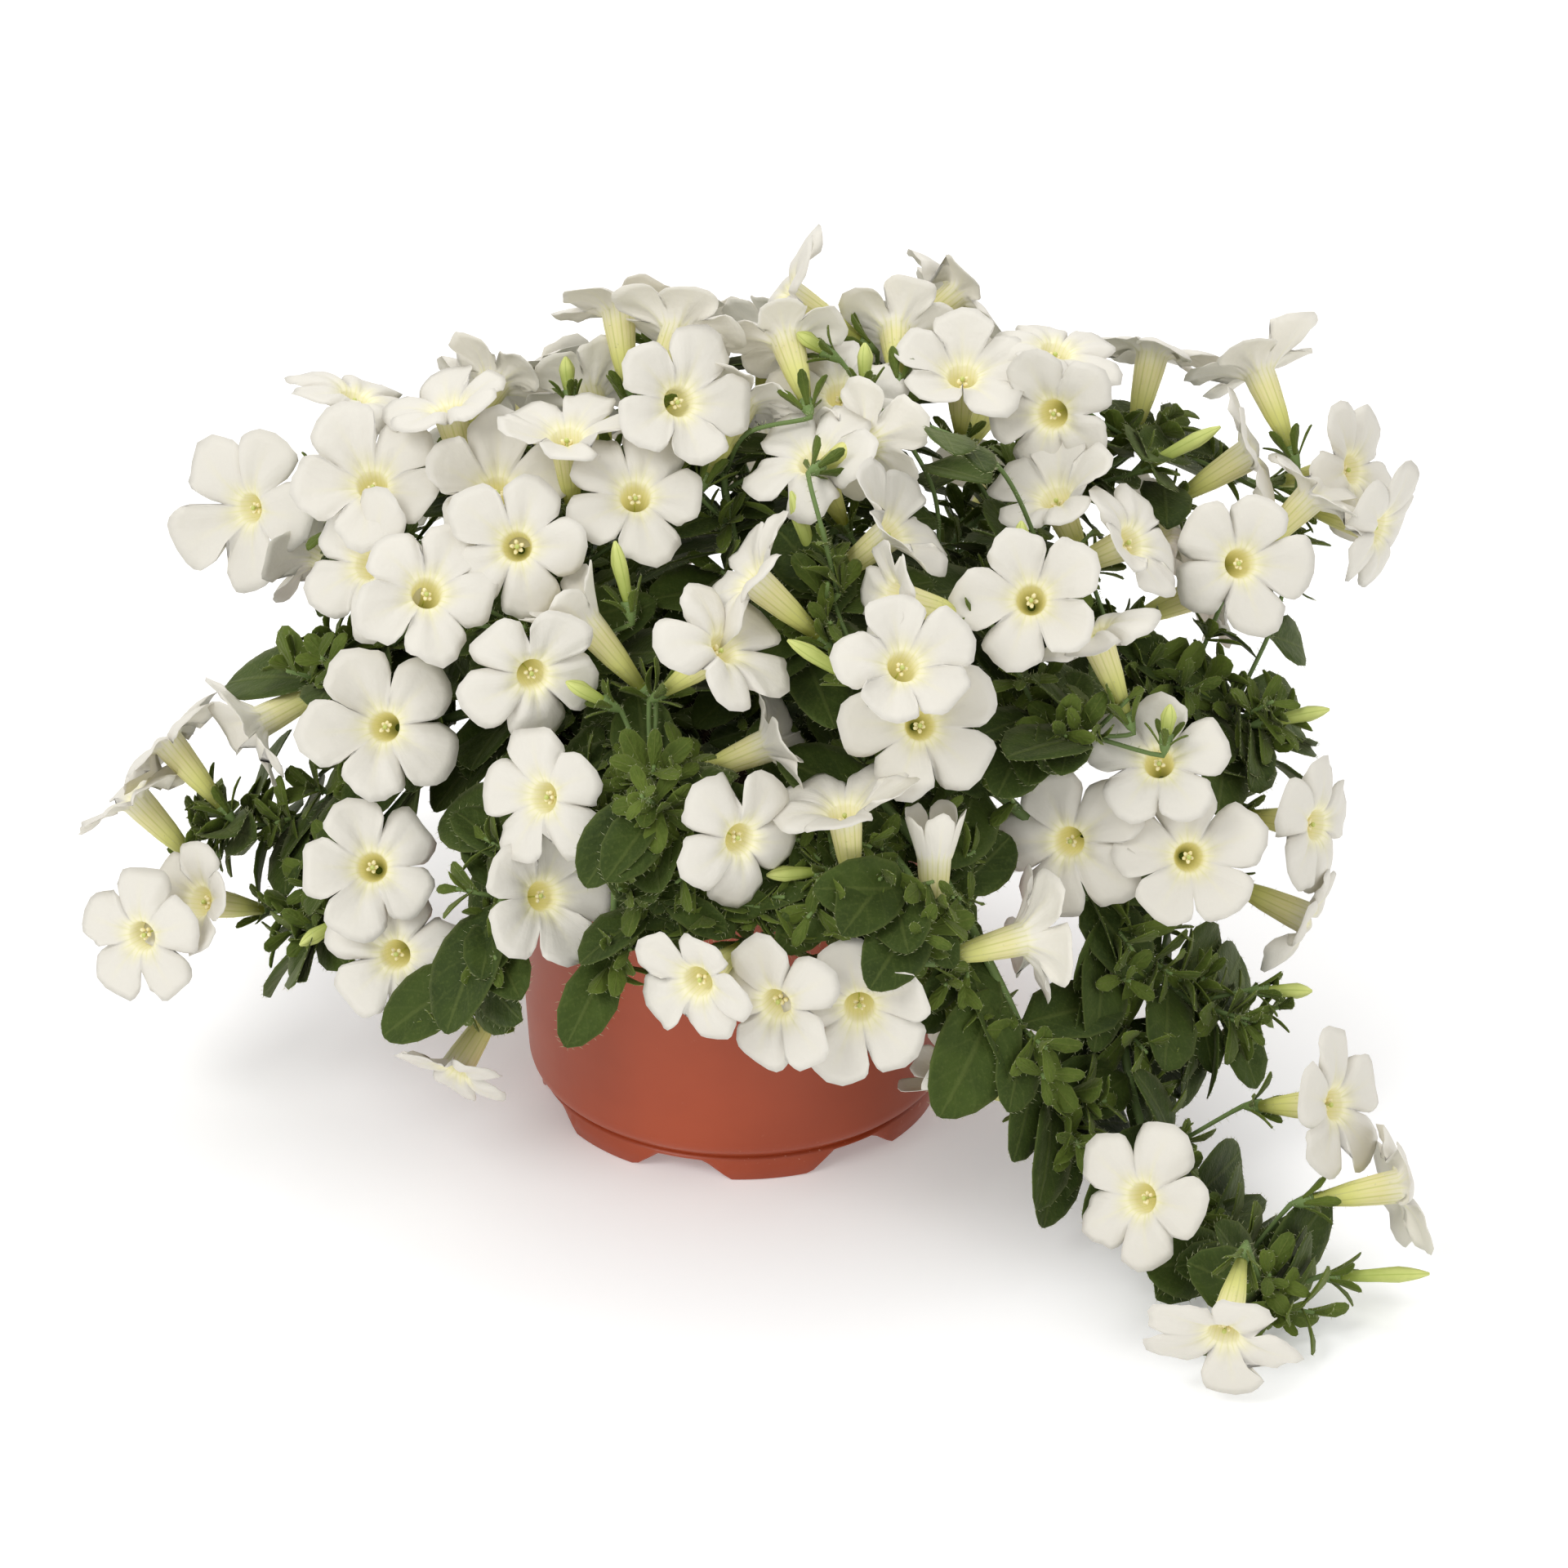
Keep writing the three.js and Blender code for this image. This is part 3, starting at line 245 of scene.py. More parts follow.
# The far side. Places and facings here are to the right, back and up.
BACK_BLOOMS = {
    "blooms_upper_left": [
        [-122, 70, 184, -0.8, 0.5, 0.3, 44], [-136, 53, 161, -0.85, 0.4, 0.3, 42],
    ],
    "bloom_back_top": [[-20, 119, 207, -0.1, 0.7, 0.7, 43]],
    "bloom_back_top_middle": [[12, 109, 211, 0.2, 0.8, 0.6, 41]],
    "blooms_back_top_left": [
        [-72, 87, 205, -0.4, 0.6, 0.7, 44], [-60, 111, 185, -0.3, 0.85, 0.4, 42],
    ],
    "blooms_back_top_right": [
        [58, 113, 211, 0.3, 0.7, 0.6, 42], [84, 116, 188, 0.4, 0.8, 0.4, 44],
    ],
    "bloom_back_right": [[86, 124, 150, 0.5, 0.9, 0.2, 45]],
    "bloom_back_left": [[-100, 118, 150, -0.6, 0.8, 0.2, 44]],
    "blooms_back_middle": [
        [-20, 147, 160, -0.1, 1, 0.2, 45], [10, 152, 150, 0.1, 1, 0.1, 42],
    ],
    "blooms_back_right_side": [
        [138, 88, 152, 0.8, 0.6, 0.2, 43], [150, 64, 141, 0.9, 0.4, 0.2, 44],
    ],
    "bloom_back_low_left": [[-92, 189, 66, -0.2, 0.8, 0.5, 44]],
    "bloom_back_low_middle": [[-36, 150, 116, -0.3, 1, 0, 43]],
    "bloom_back_low_right": [[44, 157, 92, 0.3, 1, 0, 44]],
}

# Closed buds: base, the way they point, and length
BUDS = [
    [23, 157, 130, -0.3, 0.9, 0.2, 23], [33, 123, 150, -0.85, 0.5, 0.3, 22],
    [-32, 145, 135, -0.2, 0.95, 0.2, 19], [-39, 116, 140, -0.85, 0.45, 0.3, 13],
    [-122, 50, 80, -0.8, -0.5, 0.3, 14], [163, 111, 65, 0.95, 0.2, 0.2, 19],
    [161, 29, 80, 0.95, 0, 0.3, 14], [178, -54, 125, 0.97, 0.05, 0.2, 27],
    [126, 190, 65, 0.85, 0.45, 0.2, 25], [-51, 210, 95, -0.1, 0.95, 0, 11], [38, 212, 100, 0, 1, 0.1, 12],
    [26, 222, 95, -0.8, 0.5, 0.2, 10], [84, 158, 125, 0, 1, 0.2, 12], [127, 106, 125, 0.1, 0.9, 0.3, 10],
    [23, 66, 140, -0.95, -0.05, 0.3, 15], [-36, 75, 130, -0.95, 0, 0.3, 16],
]

# Twigs that hang over the rim from a stem: points from near its branch to the tip
RIM_TWIGS = {
    "leafy_stem_front_left": [
        [[-32, -52, 134], [-35, -79, 130], [-37, -95, 98]],
        [[-24, -65, 138], [-24, -84, 136], [-25, -95, 112]],
        [[-24, -65, 138], [-12, -84, 136], [-9, -94, 116]],
    ],
    "leafy_stem_front_right": [
        [[24, -49, 131], [12, -78, 134], [6, -92, 116]],
        [[24, -49, 131], [28, -80, 132], [28, -95, 112]],
        [[58, -80, 122], [66, -84, 104], [68, -86, 82]],
    ],
}


class Slot(Enum):
    """The material slots, one for each kind of piece."""

    POT = "pot"
    SOIL = "soil"
    LEAF = "leaf"
    BLOOM = "bloom"


class Dice:
    """Draws between 0 and 1, always the same ones for a seed."""

    def __init__(self, seed: int) -> None:
        """Starts the draws from any whole number."""
        self.state = seed & WORD

    def draw(self) -> float:
        """Returns the next number between 0 and 1."""
        self.state = (self.state + 0x6D2B79F5) & WORD
        mix = ((self.state ^ (self.state >> 15)) * (1 | self.state)) & WORD
        mix = ((mix + (mix ^ (mix >> 7)) * (61 | mix)) & WORD) ^ mix
        return (mix ^ (mix >> 14)) / (WORD + 1)

    def within(self, low: float, high: float) -> float:
        """Returns the next number between two values."""
        return low + (high - low) * self.draw()

    def wave(self) -> float:
        """Returns the next number between -1 and 1."""
        return 2 * self.draw() - 1


def unit(vector: Array) -> Array:
    """Returns the vector, or each row of an array of them, with a length of 1."""
    return vector / np.maximum(np.linalg.norm(vector, axis=-1, keepdims=True), 1e-12)


def from_view(right: float, up: float, near: float) -> Array:
    """Returns the place, or direction, that the viewer sees right, up and near."""
    sin, cos = math.sin(VIEW_PITCH), math.cos(VIEW_PITCH)
    return np.array([right, up * sin - near * cos, up * cos + near * sin])


def to_view(points: Array) -> Array:
    """Returns places as the viewer has them: right, up and near, along the last axis."""
    sin, cos = math.sin(VIEW_PITCH), math.cos(VIEW_PITCH)
    x, y, z = np.moveaxis(np.asarray(points, float), -1, 0)
    return np.stack([x, y * sin + z * cos, z * sin - y * cos], axis=-1)


def axes_of(facing: Array, roll: float) -> Array:
    """Gives the right, up and outward axes of something that faces one way.

    Args:
        facing: The outward direction, of length 1.
        roll: A turn about it, in radians.

    Returns:
        The three axes, as rows.
    """
    level = np.cross(UP, facing)
    right = unit(level if np.linalg.norm(level) > 0.1 else EAST)
    up = np.cross(facing, right)
    cos, sin = math.cos(roll), math.sin(roll)
    return np.array([right * cos + up * sin, up * cos - right * sin, facing])


def sideways(axes: Array, turn: float) -> Array:
    """Returns the direction across the last of three axes, by its turn from the first."""
    return axes[0] * math.cos(turn) + axes[1] * math.sin(turn)


def places_round(origin: Array, axes: Array, radius: Array, turn: Array, height: Array) -> Array:
    """Returns places by their radius, their turn and their height on the last of three axes."""
    return (origin + (radius * np.cos(turn))[:, None] * axes[0]
            + (radius * np.sin(turn))[:, None] * axes[1] + height[:, None] * axes[2])


def turned(vector: Array, axis: Array, angle: float) -> Array:
    """Returns a vector turned about an axis of length 1, by an angle in radians."""
    cos, sin = math.cos(angle), math.sin(angle)
    return vector * cos + np.cross(axis, vector) * sin + axis * (axis @ vector) * (1 - cos)


def smooth(low: float, high: float, value: Array) -> Array:
    """Returns 0 below low, 1 above high and an even slope between."""
    part = np.clip((np.asarray(value, float) - low) / (high - low), 0, 1)
    return part * part * (3 - 2 * part)


def length_of(path: Array) -> float:
    """Returns the length of a path of points."""
    return float(np.linalg.norm(np.diff(path, axis=0), axis=1).sum())


def curve_points(controls: Sequence[Array], count: int) -> Array:
    """Walks an even Catmull-Rom curve through the control points.

    Args:
        controls: The points that the curve goes through.
        count: The number of steps along it.

    Returns:
        The count + 1 points of the walk.
    """
    known = np.array(controls, float)
    last = len(known) - 1
    padded = np.vstack([2 * known[0] - known[1], known, 2 * known[-1] - known[-2]])
    found = []
    for step in range(count + 1):
        at = last * step / count
        first = min(int(at), last - 1)
        t = at - first
        a, b, c, d = padded[first:first + 4]
        start, end = (c - a) / 2, (d - b) / 2
        bend = -3 * b + 3 * c - 2 * start - end
        twist = 2 * b - 2 * c + start + end
        found.append(b + start * t + bend * t * t + twist * t ** 3)
    return np.array(found)


def point_along(path: Array, at: float) -> tuple[Array, Array]:
    """Returns a place on a path, by its distance from the start, and the path's way there."""
    passed = np.concatenate([[0], np.cumsum(np.linalg.norm(np.diff(path, axis=0), axis=1))])
    i = min(int(np.searchsorted(passed, at)), len(path) - 1)
    place = np.array([np.interp(at, passed, path[:, k]) for k in range(3)])
    return place, unit(path[i] - path[i - 1])


def tube_rings(path: Array, radii: Sequence[float], sides: int) -> Array:
    """Sets rings of points round a path, carried along it without a twist.

    Args:
        path: The middle of the tube.
        radii: Its radius at each point of the path.
        sides: The number of points in a ring.

    Returns:
        Points, by ring and then by side.
    """
    rings = []
    across: Optional[Array] = None
    turn = 2 * math.pi * np.arange(sides) / sides
    for i, place in enumerate(path):
        along = unit(path[min(i + 1, len(path) - 1)] - path[max(i - 1, 0)])
        if across is None:
            across = UP if abs(along[2]) < 0.9 else EAST
        across = unit(across - along * (across @ along))
        up = np.cross(along, across)
        ring = np.outer(np.cos(turn), across) + np.outer(np.sin(turn), up)
        rings.append(place + radii[i] * ring)
    return np.array(rings)


@dataclass(frozen=True)
class Template:
    """A shape made once with bmesh operators, and placed many times."""

    points: Array
    corners: Array
    starts: Array
    uvs: Array

    @staticmethod
    def of(bm: bmesh.types.BMesh, uv: Callable[[Vector, Vector], tuple[float, float]]) -> "Template":
        """Reads a bmesh and frees it.

        Args:
            bm: The finished shape.
            uv: Gives the pattern's place for a corner's and its face's centre.

        Returns:
            The template.
        """
        bm.verts.index_update()
        points = np.array([v.co[:] for v in bm.verts])
        sizes = [len(f.verts) for f in bm.faces]
        corners = np.array([v.index for f in bm.faces for v in f.verts])
        uvs = np.array([uv(v.co, f.calc_center_median()) for f in bm.faces for v in f.verts])
        bm.free()
        starts = np.concatenate([[0], np.cumsum(sizes)[:-1]])
        return Template(points, corners, starts, uvs)


def turn_uv(corner: Vector, centre: Vector) -> tuple[float, float]:
    """Returns the turn about Z, from 0 to 1 and over the seam, and the height."""
    middle = math.atan2(centre.y, centre.x) / (2 * math.pi) % 1
    turn = math.atan2(corner.y, corner.x) / (2 * math.pi) % 1
    if turn - middle > 0.5:
        turn -= 1
    if middle - turn > 0.5:
        turn += 1
    return turn, corner.z


@cache
def plate_template(across: int, along: int) -> Template:
    """Makes a thin closed plate: X from -1 to 1, Y from 0 to 1, Z at 0 or 1."""
    bm = bmesh.new()
    bmesh.ops.create_grid(bm, x_segments=across, y_segments=along, size=1)
    bmesh.ops.solidify(bm, geom=bm.faces[:], thickness=1)
    for vert in bm.verts:
        vert.co.y = (vert.co.y + 1) / 2
        vert.co.z = 1 if vert.co.z > -0.5 else 0
    bmesh.ops.recalc_face_normals(bm, faces=bm.faces[:])
    return Template.of(bm, lambda corner, _: (corner.x, corner.y))


def spun(profile: Iterable[tuple[float, float]], columns: int) -> bmesh.types.BMesh:
    """Spins a line of radii and heights once about Z.

    Args:
        profile: The radius and the height at each of its points.
        columns: The number of steps round.

    Returns:
        The shape, its first and last column joined.
    """
    bm = bmesh.new()
    line = [bm.verts.new((radius, 0, height)) for radius, height in profile]
    edges = [bm.edges.new(pair) for pair in zip(line, line[1:])]
    bmesh.ops.spin(bm, geom=line + edges, cent=(0, 0, 0), axis=(0, 0, 1), angle=2 * math.pi,
                   steps=columns, use_merge=True)
    return bm


@cache
def sleeve_template(columns: int, rows: tuple[float, ...]) -> Template:
    """Makes an open sleeve with a wall: its rows at the given heights, spun about Z.

    Args:
        columns: The number of steps round.
        rows: The heights.

    Returns:
        The sleeve. Its outer layer has a radius of 1, and its inner one less.
    """
    bm = spun([(1, height) for height in rows], columns)
    bmesh.ops.recalc_face_normals(bm, faces=bm.faces[:])
    bmesh.ops.solidify(bm, geom=bm.faces[:], thickness=0.2)
    radii = [v.co.xy.length for v in bm.verts]
    middle = (min(radii) + max(radii)) / 2
    for vert, radius in zip(bm.verts, radii):
        layer = 1.0 if radius > middle else 0.8
        vert.co.xy = vert.co.xy.normalized() * layer
    bmesh.ops.recalc_face_normals(bm, faces=bm.faces[:])
    return Template.of(bm, turn_uv)


@cache
def post_template(sides: int, rows: int) -> Template:
    """Makes a closed round post: radius 1, Z from 0 to 1, in even rows."""
    bm = bmesh.new()
    bmesh.ops.create_cone(bm, cap_ends=True, segments=sides, radius1=1, radius2=1, depth=1)
    upright = [e for e in bm.edges if abs(e.verts[0].co.z - e.verts[1].co.z) > 0.5]
    if rows > 1:
        bmesh.ops.subdivide_edges(bm, edges=upright, cuts=rows - 1, use_grid_fill=True)
    for vert in bm.verts:
        vert.co.z += 0.5
    return Template.of(bm, turn_uv)


@cache
def bead_template(sides: int, rows: int) -> Template:
    """Makes a small ball of radius 1."""
    bm = bmesh.new()
    bmesh.ops.create_uvsphere(bm, u_segments=sides, v_segments=rows, radius=1)
    return Template.of(bm, turn_uv)


@cache
def hair_template() -> Template:
    """Makes a three-sided hair: radius 1 at its foot, its point at Z = 1."""
    bm = bmesh.new()
    bmesh.ops.create_cone(bm, cap_ends=True, segments=3, radius1=1, radius2=0, depth=1)
    for vert in bm.verts:
        vert.co.z += 0.5
    return Template.of(bm, lambda corner, _: (0.5, corner.z))


class Stack:
    """The shapes that together make one piece."""

    def __init__(self) -> None:
        """Starts an empty piece."""
        self.parts: list[tuple[Array, ...]] = []
        self.points = 0
        self.corners = 0

    def add(self, template: Template, places: Array, slot: int, tint: float = 0.5,
            uvs: Optional[Array] = None) -> None:
        """Adds one shape, or several of the same.

        Args:
            template: The shape's faces.
            places: Where its points go, in millimetres. Several shapes have a first axis more.
            slot: The number of its finish on the piece.
            tint: A value from 0 to 1 that its finish varies by.
            uvs: The pattern's places, where they differ from the template's.
        """
        copies = places.reshape(-1, len(template.points), 3)
        count = len(copies)
        number = np.arange(count)[:, None]
        points, corners = len(template.points), len(template.corners)
        self.parts.append((
            copies.reshape(-1, 3),
            (template.corners + self.points + points * number).ravel(),
            (template.starts + self.corners + corners * number).ravel(),
            np.tile(template.uvs if uvs is None else uvs, (count, 1)),
            np.full(points * count, tint),
            np.full(len(template.starts) * count, slot),
        ))
        self.points += points * count
        self.corners += corners * count

    def piece(self, name: str, node: str, slot: Slot, finishes: Sequence[bpy.types.Material]) -> None:
        """Makes the piece, which stands for a node of the frame.

        Args:
            name: The piece's name.
            node: The node that it replaces.
            slot: The kind of material slot, handed on to stand_for.
            finishes: Its materials, by the numbers given to add.
        """
        mesh = bpy.data.meshes.new(name)
        points, corners, starts, uvs, tints, slots = (np.concatenate(part) for part in zip(*self.parts))
        mesh.vertices.add(self.points)
        mesh.vertices.foreach_set("co", (MM * points).ravel())
        mesh.loops.add(self.corners)
        mesh.loops.foreach_set("vertex_index", corners)
        mesh.polygons.add(len(starts))
        mesh.polygons.foreach_set("loop_start", starts)
        mesh.polygons.foreach_set("material_index", slots)
        mesh.polygons.foreach_set("use_smooth", np.full(len(starts), True))
        mesh.uv_layers.new(name="pattern").data.foreach_set("uv", uvs.ravel())
        mesh.attributes.new("tint", "FLOAT", "POINT").data.foreach_set("value", tints)
        mesh.update(calc_edges=True)
        for finish in finishes:
            mesh.materials.append(finish)
        stand_for(mesh, node, slot)


def mesh_of(name: str, bm: bmesh.types.BMesh) -> bpy.types.Mesh:
    """Returns a shape as a mesh, and frees it."""
    mesh = bpy.data.meshes.new(name)
    bm.to_mesh(mesh)
    bm.free()
    return mesh


def put(name: str, data: bpy.types.ID) -> bpy.types.Object:
    """Puts a mesh, a lamp or a camera in the scene, and returns the object."""
    made = bpy.data.objects.new(name, data)
    bpy.context.scene.collection.objects.link(made)
    return made


def stand_for(mesh: bpy.types.Mesh, node: str, slot: Slot) -> None:
    """Puts a piece in the scene in a node's place.

    Args:
        mesh: The finished mesh. The piece takes its name.
        node: The frame's node that it stands for.
        slot: Not used.
    """
    piece = put(mesh.name, mesh)
    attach(piece, "root")
    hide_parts(node)
    triangles = sum(len(face.vertices) - 2 for face in mesh.polygons)
    log.info("%s stands for %s: %d triangles", piece.name, node, triangles)


class Shader:
    """A material's nodes, made and linked by short calls."""

    def __init__(self, name: str) -> None:
        """Starts a material.

        Args:
            name: The material's name.
        """
        self.material = bpy.data.materials.new(name)
        self.material.use_nodes = True
        self.tree = self.material.node_tree
        self.skin = self.tree.nodes["Principled BSDF"]

    def node(self, kind: str, inputs: Optional[dict] = None, **settings: object) -> bpy.types.Node:
        """Adds a node.

        Args:
            kind: The node's type, without its leading ShaderNode.
            inputs: Values or output sockets, by the name or number of the input.
            settings: The node's own settings.

        Returns:
            The node.
        """
        made = self.tree.nodes.new("ShaderNode" + kind)
        for name, value in settings.items():
            setattr(made, name, value)
        for name, value in (inputs or {}).items():
            self.feed(made.inputs[name], value)
        return made

    def feed(self, socket: Socket, value: object) -> None:
        """Links an output to an input, or sets the input's value."""
        if isinstance(value, Socket):
            self.tree.links.new(value, socket)
        else:
            socket.default_value = value

    def maths(self, operation: str, *values: object, clamp: bool = False) -> Socket:
        """Returns the outcome of one sum on numbers or outputs."""
        inputs = dict(enumerate(values))
        return self.node("Math", inputs, operation=operation, use_clamp=clamp).outputs[0]

    def times(self, first: object, second: object) -> Socket:
        """Returns a product."""
        return self.maths("MULTIPLY", first, second)

    def flipped(self, part: object) -> Socket:
        """Returns 1 less a value."""
        return self.maths("SUBTRACT", 1.0, part)

    def slope(self, value: object, low: float, high: float) -> Socket:
        """Returns 0 to 1 as the value goes smoothly from low to high."""
        made = self.node("MapRange", {0: value, 1: low, 2: high}, interpolation_type="SMOOTHSTEP")
        return made.outputs[0]

    def noise(self, scale: float, detail: float = 2, vector: object = None,
              rough: float = 0.5) -> Socket:
        """Returns a noise value, on the piece's own coordinates unless told otherwise."""
        place = self.node("TexCoord").outputs["Object"] if vector is None else vector
        inputs = {"Vector": place, "Scale": scale, "Detail": detail, "Roughness": rough}
        return self.node("TexNoise", inputs).outputs[0]

    def pattern(self) -> tuple[Socket, Socket]:
        """Returns the two coordinates of the piece's own pattern."""
        split = self.node("SeparateXYZ", {0: self.node("UVMap", uv_map="pattern").outputs[0]})
        return split.outputs[0], split.outputs[1]

    def tint(self) -> Socket:
        """Returns the value that the piece's shapes vary by."""
        return self.node("Attribute", attribute_name="tint").outputs["Fac"]

    def mix(self, part: object, first: object, second: object) -> Socket:
        """Returns the first colour turning into the second as part goes from 0 to 1."""
        made = self.node("Mix", data_type="RGBA")
        for number, value in zip((0, 6, 7), (part, first, second)):
            is_colour = isinstance(value, tuple)
            self.feed(made.inputs[number], (*value, 1) if is_colour else value)
        return made.outputs[2]

    def ramp(self, value: object, stops: Sequence[tuple[float, Colour]]) -> Socket:
        """Returns a colour from stops, each a position and a colour."""
        made = self.node("ValToRGB", {0: value})
        made.color_ramp.interpolation = "EASE"
        elements = made.color_ramp.elements
        for element, (at, colour) in zip(elements, (stops[0], stops[-1])):
            element.position = at
            element.color = (*colour, 1)
        for at, colour in stops[1:-1]:
            elements.new(at).color = (*colour, 1)
        return made.outputs[0]

    def relief(self, height: object, strength: float, depth: float,
               under: object = None) -> Socket:
        """Returns normals with a relief, its full depth in millimetres."""
        inputs = {"Height": height, "Strength": strength, "Distance": depth * MM}
        if under is not None:
            inputs["Normal"] = under
        return self.node("Bump", inputs).outputs[0]

    def finish(self, colour: object, normal: object = None, **numbers: object) -> bpy.types.Material:
        """Sets the skin's inputs.

        Args:
            colour: The base colour.
            normal: Its normals, if it has a relief.
            numbers: Other inputs, by name with underlines for spaces.

        Returns:
            The finished material.
        """
        self.feed(self.skin.inputs["Base Color"], (*colour, 1) if isinstance(colour, tuple) else colour)
        if normal is not None:
            self.feed(self.skin.inputs["Normal"], normal)
        for name, value in numbers.items():
            self.feed(self.skin.inputs[name.replace("_", " ")], value)
        return self.material


@dataclass(frozen=True)
class PetalFinish:
    """The flower: white limb, yellow throat, and a yellow-green tube with darker veins; a painted glow
    lights the throat and the petals' outside.

    The pattern runs once round the flower in its first coordinate, one more on the
    outside, and from the tube's foot at 0 by the mouth to the limb's edge at 1.
    """

    white: Colour = (0.705, 0.675, 0.60)
    cream: Colour = (0.75, 0.715, 0.525)
    straw: Colour = (0.74, 0.70, 0.46)
    yellow: Colour = (0.72, 0.665, 0.33)
    lime: Colour = (0.62, 0.62, 0.17)
    green: Colour = (0.46, 0.50, 0.10)
    vein: Colour = (0.50, 0.50, 0.13)
    throat: Colour = (0.55, 0.52, 0.18)
    mouth: float = 0.4

    def build(self) -> bpy.types.Material:
        """Returns the material."""
        s = Shader("petal")
        turn, height = s.pattern()
        outside = s.maths("GREATER_THAN", turn, 1.5)
        lobe = s.times(turn, 5.0)
        off_rib = s.maths("PINGPONG", lobe, 0.5)
        inner = s.ramp(height, [(0.0, self.throat), (0.2, self.yellow), (0.36, self.straw),
                                (0.47, self.cream), (0.74, self.white), (1.0, self.white)])
        outer = s.ramp(height, [(0.0, self.green), (0.14, self.lime), (0.3, self.yellow),
                                (self.mouth, self.cream), (0.58, self.white), (1.0, self.white)])
        colour = s.mix(outside, inner, outer)
        rib = s.flipped(s.slope(off_rib, 0.0, 0.05))
        fading = s.slope(height, 1.0, 0.45)
        on_rib = s.times(s.times(rib, fading), 0.7)
        colour = s.mix(on_rib, colour, self.cream)
        fine = s.maths("PINGPONG", s.times(turn, 20.0), 0.5)
        streak = s.times(s.slope(fine, 0.22, 0.04), s.slope(height, 0.66, 0.42))
        colour = s.mix(s.times(streak, 0.4), colour, self.lime)
        tube = s.slope(height, 0.5, 0.2)
        stripes = s.maths("PINGPONG", s.times(turn, 10.0), 0.5)
        dark = s.flipped(s.slope(stripes, 0.03, 0.14))
        on_tube = s.times(s.times(dark, tube), s.times(outside, 0.8))
        colour = s.mix(on_tube, colour, self.vein)
        along = s.node("CombineXYZ", {0: s.times(turn, 90.0), 1: s.times(height, 3.0)})
        veins = s.noise(1.0, 1, along.outputs[0])
        shade = s.maths("MULTIPLY_ADD", s.noise(260.0, 3), 0.06, s.times(veins, 0.05))
        shade = s.maths("ADD", shade, s.times(s.tint(), 0.05))
        colour = s.mix(shade, colour, (0.62, 0.60, 0.55))
        normal = s.relief(s.noise(170.0, 3), 0.55, 0.9)
        normal = s.relief(veins, 0.35, 0.22, normal)
        # Painted light: the throat and the inside of the tube glow by emission, as if light came through
        # the thin petals.
        painted_throat_glow = s.ramp(height, [(0.0, (0.10, 0.09, 0.02)), (0.3, (0.19, 0.175, 0.085)),
                              (0.4, (0.15, 0.14, 0.085)), (0.6, (0.0, 0.0, 0.0))])
        # Painted light: the petals' outer faces glow a little by emission, which lifts their shaded backs.
        behind = s.ramp(height, [(0.0, (0.02, 0.02, 0.0)), (0.34, (0.05, 0.045, 0.015)),
                                 (0.5, (0.11, 0.105, 0.09)), (1.0, (0.11, 0.105, 0.09))])
        return s.finish(colour, normal, Roughness=0.58, Specular_IOR_Level=0.25,
                        Emission_Color=s.mix(outside, painted_throat_glow, behind), Emission_Strength=1.0)


@dataclass(frozen=True)
class LeafFinish:
    """A leaf: green, finely bumpy and downy, with a rib and side veins.

    The pattern runs across the leaf from -1 to 1 and along it from 0 to 1.
    """

    name: str
    dark: Colour
    light: Colour
    rib: Colour
    veins: float = 7.0

    def build(self) -> bpy.types.Material:
        """Returns the material."""
        s = Shader(self.name)
        across, along = s.pattern()
        off_rib = s.maths("ABSOLUTE", across)
        patches = s.noise(90.0, 3)
        part = s.maths("ADD", s.times(s.slope(patches, 0.3, 0.7), 0.5), s.times(s.tint(), 0.5))
        colour = s.mix(part, self.dark, self.light)
        slanted = s.maths("SUBTRACT", s.times(along, self.veins), s.times(off_rib, 1.6))
        between = s.maths("PINGPONG", slanted, 0.5)
        on_vein = s.flipped(s.slope(between, 0.0, 0.12))
        on_rib = s.flipped(s.slope(off_rib, 0.02, 0.11))
        line = s.maths("MAXIMUM", s.times(on_vein, 0.35), on_rib)
        line = s.maths("MAXIMUM", line, s.slope(off_rib, 0.86, 1.0))
        colour = s.mix(s.times(line, 0.42), colour, self.rib)
        grain = s.noise(1000.0, 2)
        colour = s.mix(s.times(s.slope(grain, 0.5, 0.72), 0.26), colour, self.rib)
        height = s.maths("SUBTRACT", s.times(between, 0.8), s.times(on_rib, 0.7))
        normal = s.relief(height, 0.5, 0.5)
        normal = s.relief(grain, 0.7, 0.35, normal)
        return s.finish(colour, normal, Roughness=0.68, Specular_IOR_Level=0.2, Sheen_Weight=0.18,
                        Sheen_Roughness=0.45, Sheen_Tint=(0.85, 0.88, 0.5, 1.0))


@dataclass(frozen=True)
class GrowthFinish:
    """Stems, buds, stamens and hairs: one colour running into another along the shape."""

    name: str
    foot: Colour
    tip: Colour
    roughness: float = 0.6
    ribs: float = 0.0

    def build(self) -> bpy.types.Material:
        """Returns the material."""
        s = Shader(self.name)
        turn, height = s.pattern()
        part = s.maths("ADD", height, s.maths("MULTIPLY_ADD", s.noise(300.0), 0.4, -0.2), clamp=True)
        colour = s.mix(part, self.foot, self.tip)
        if self.ribs:
            rib = s.maths("PINGPONG", s.times(turn, self.ribs), 0.5)
            colour = s.mix(s.times(s.slope(rib, 0.12, 0.0), 0.6), colour, self.foot)
        normal = s.relief(s.noise(900.0), 0.4, 0.15)
        return s.finish(colour, normal, Roughness=self.roughness, Specular_IOR_Level=0.3)


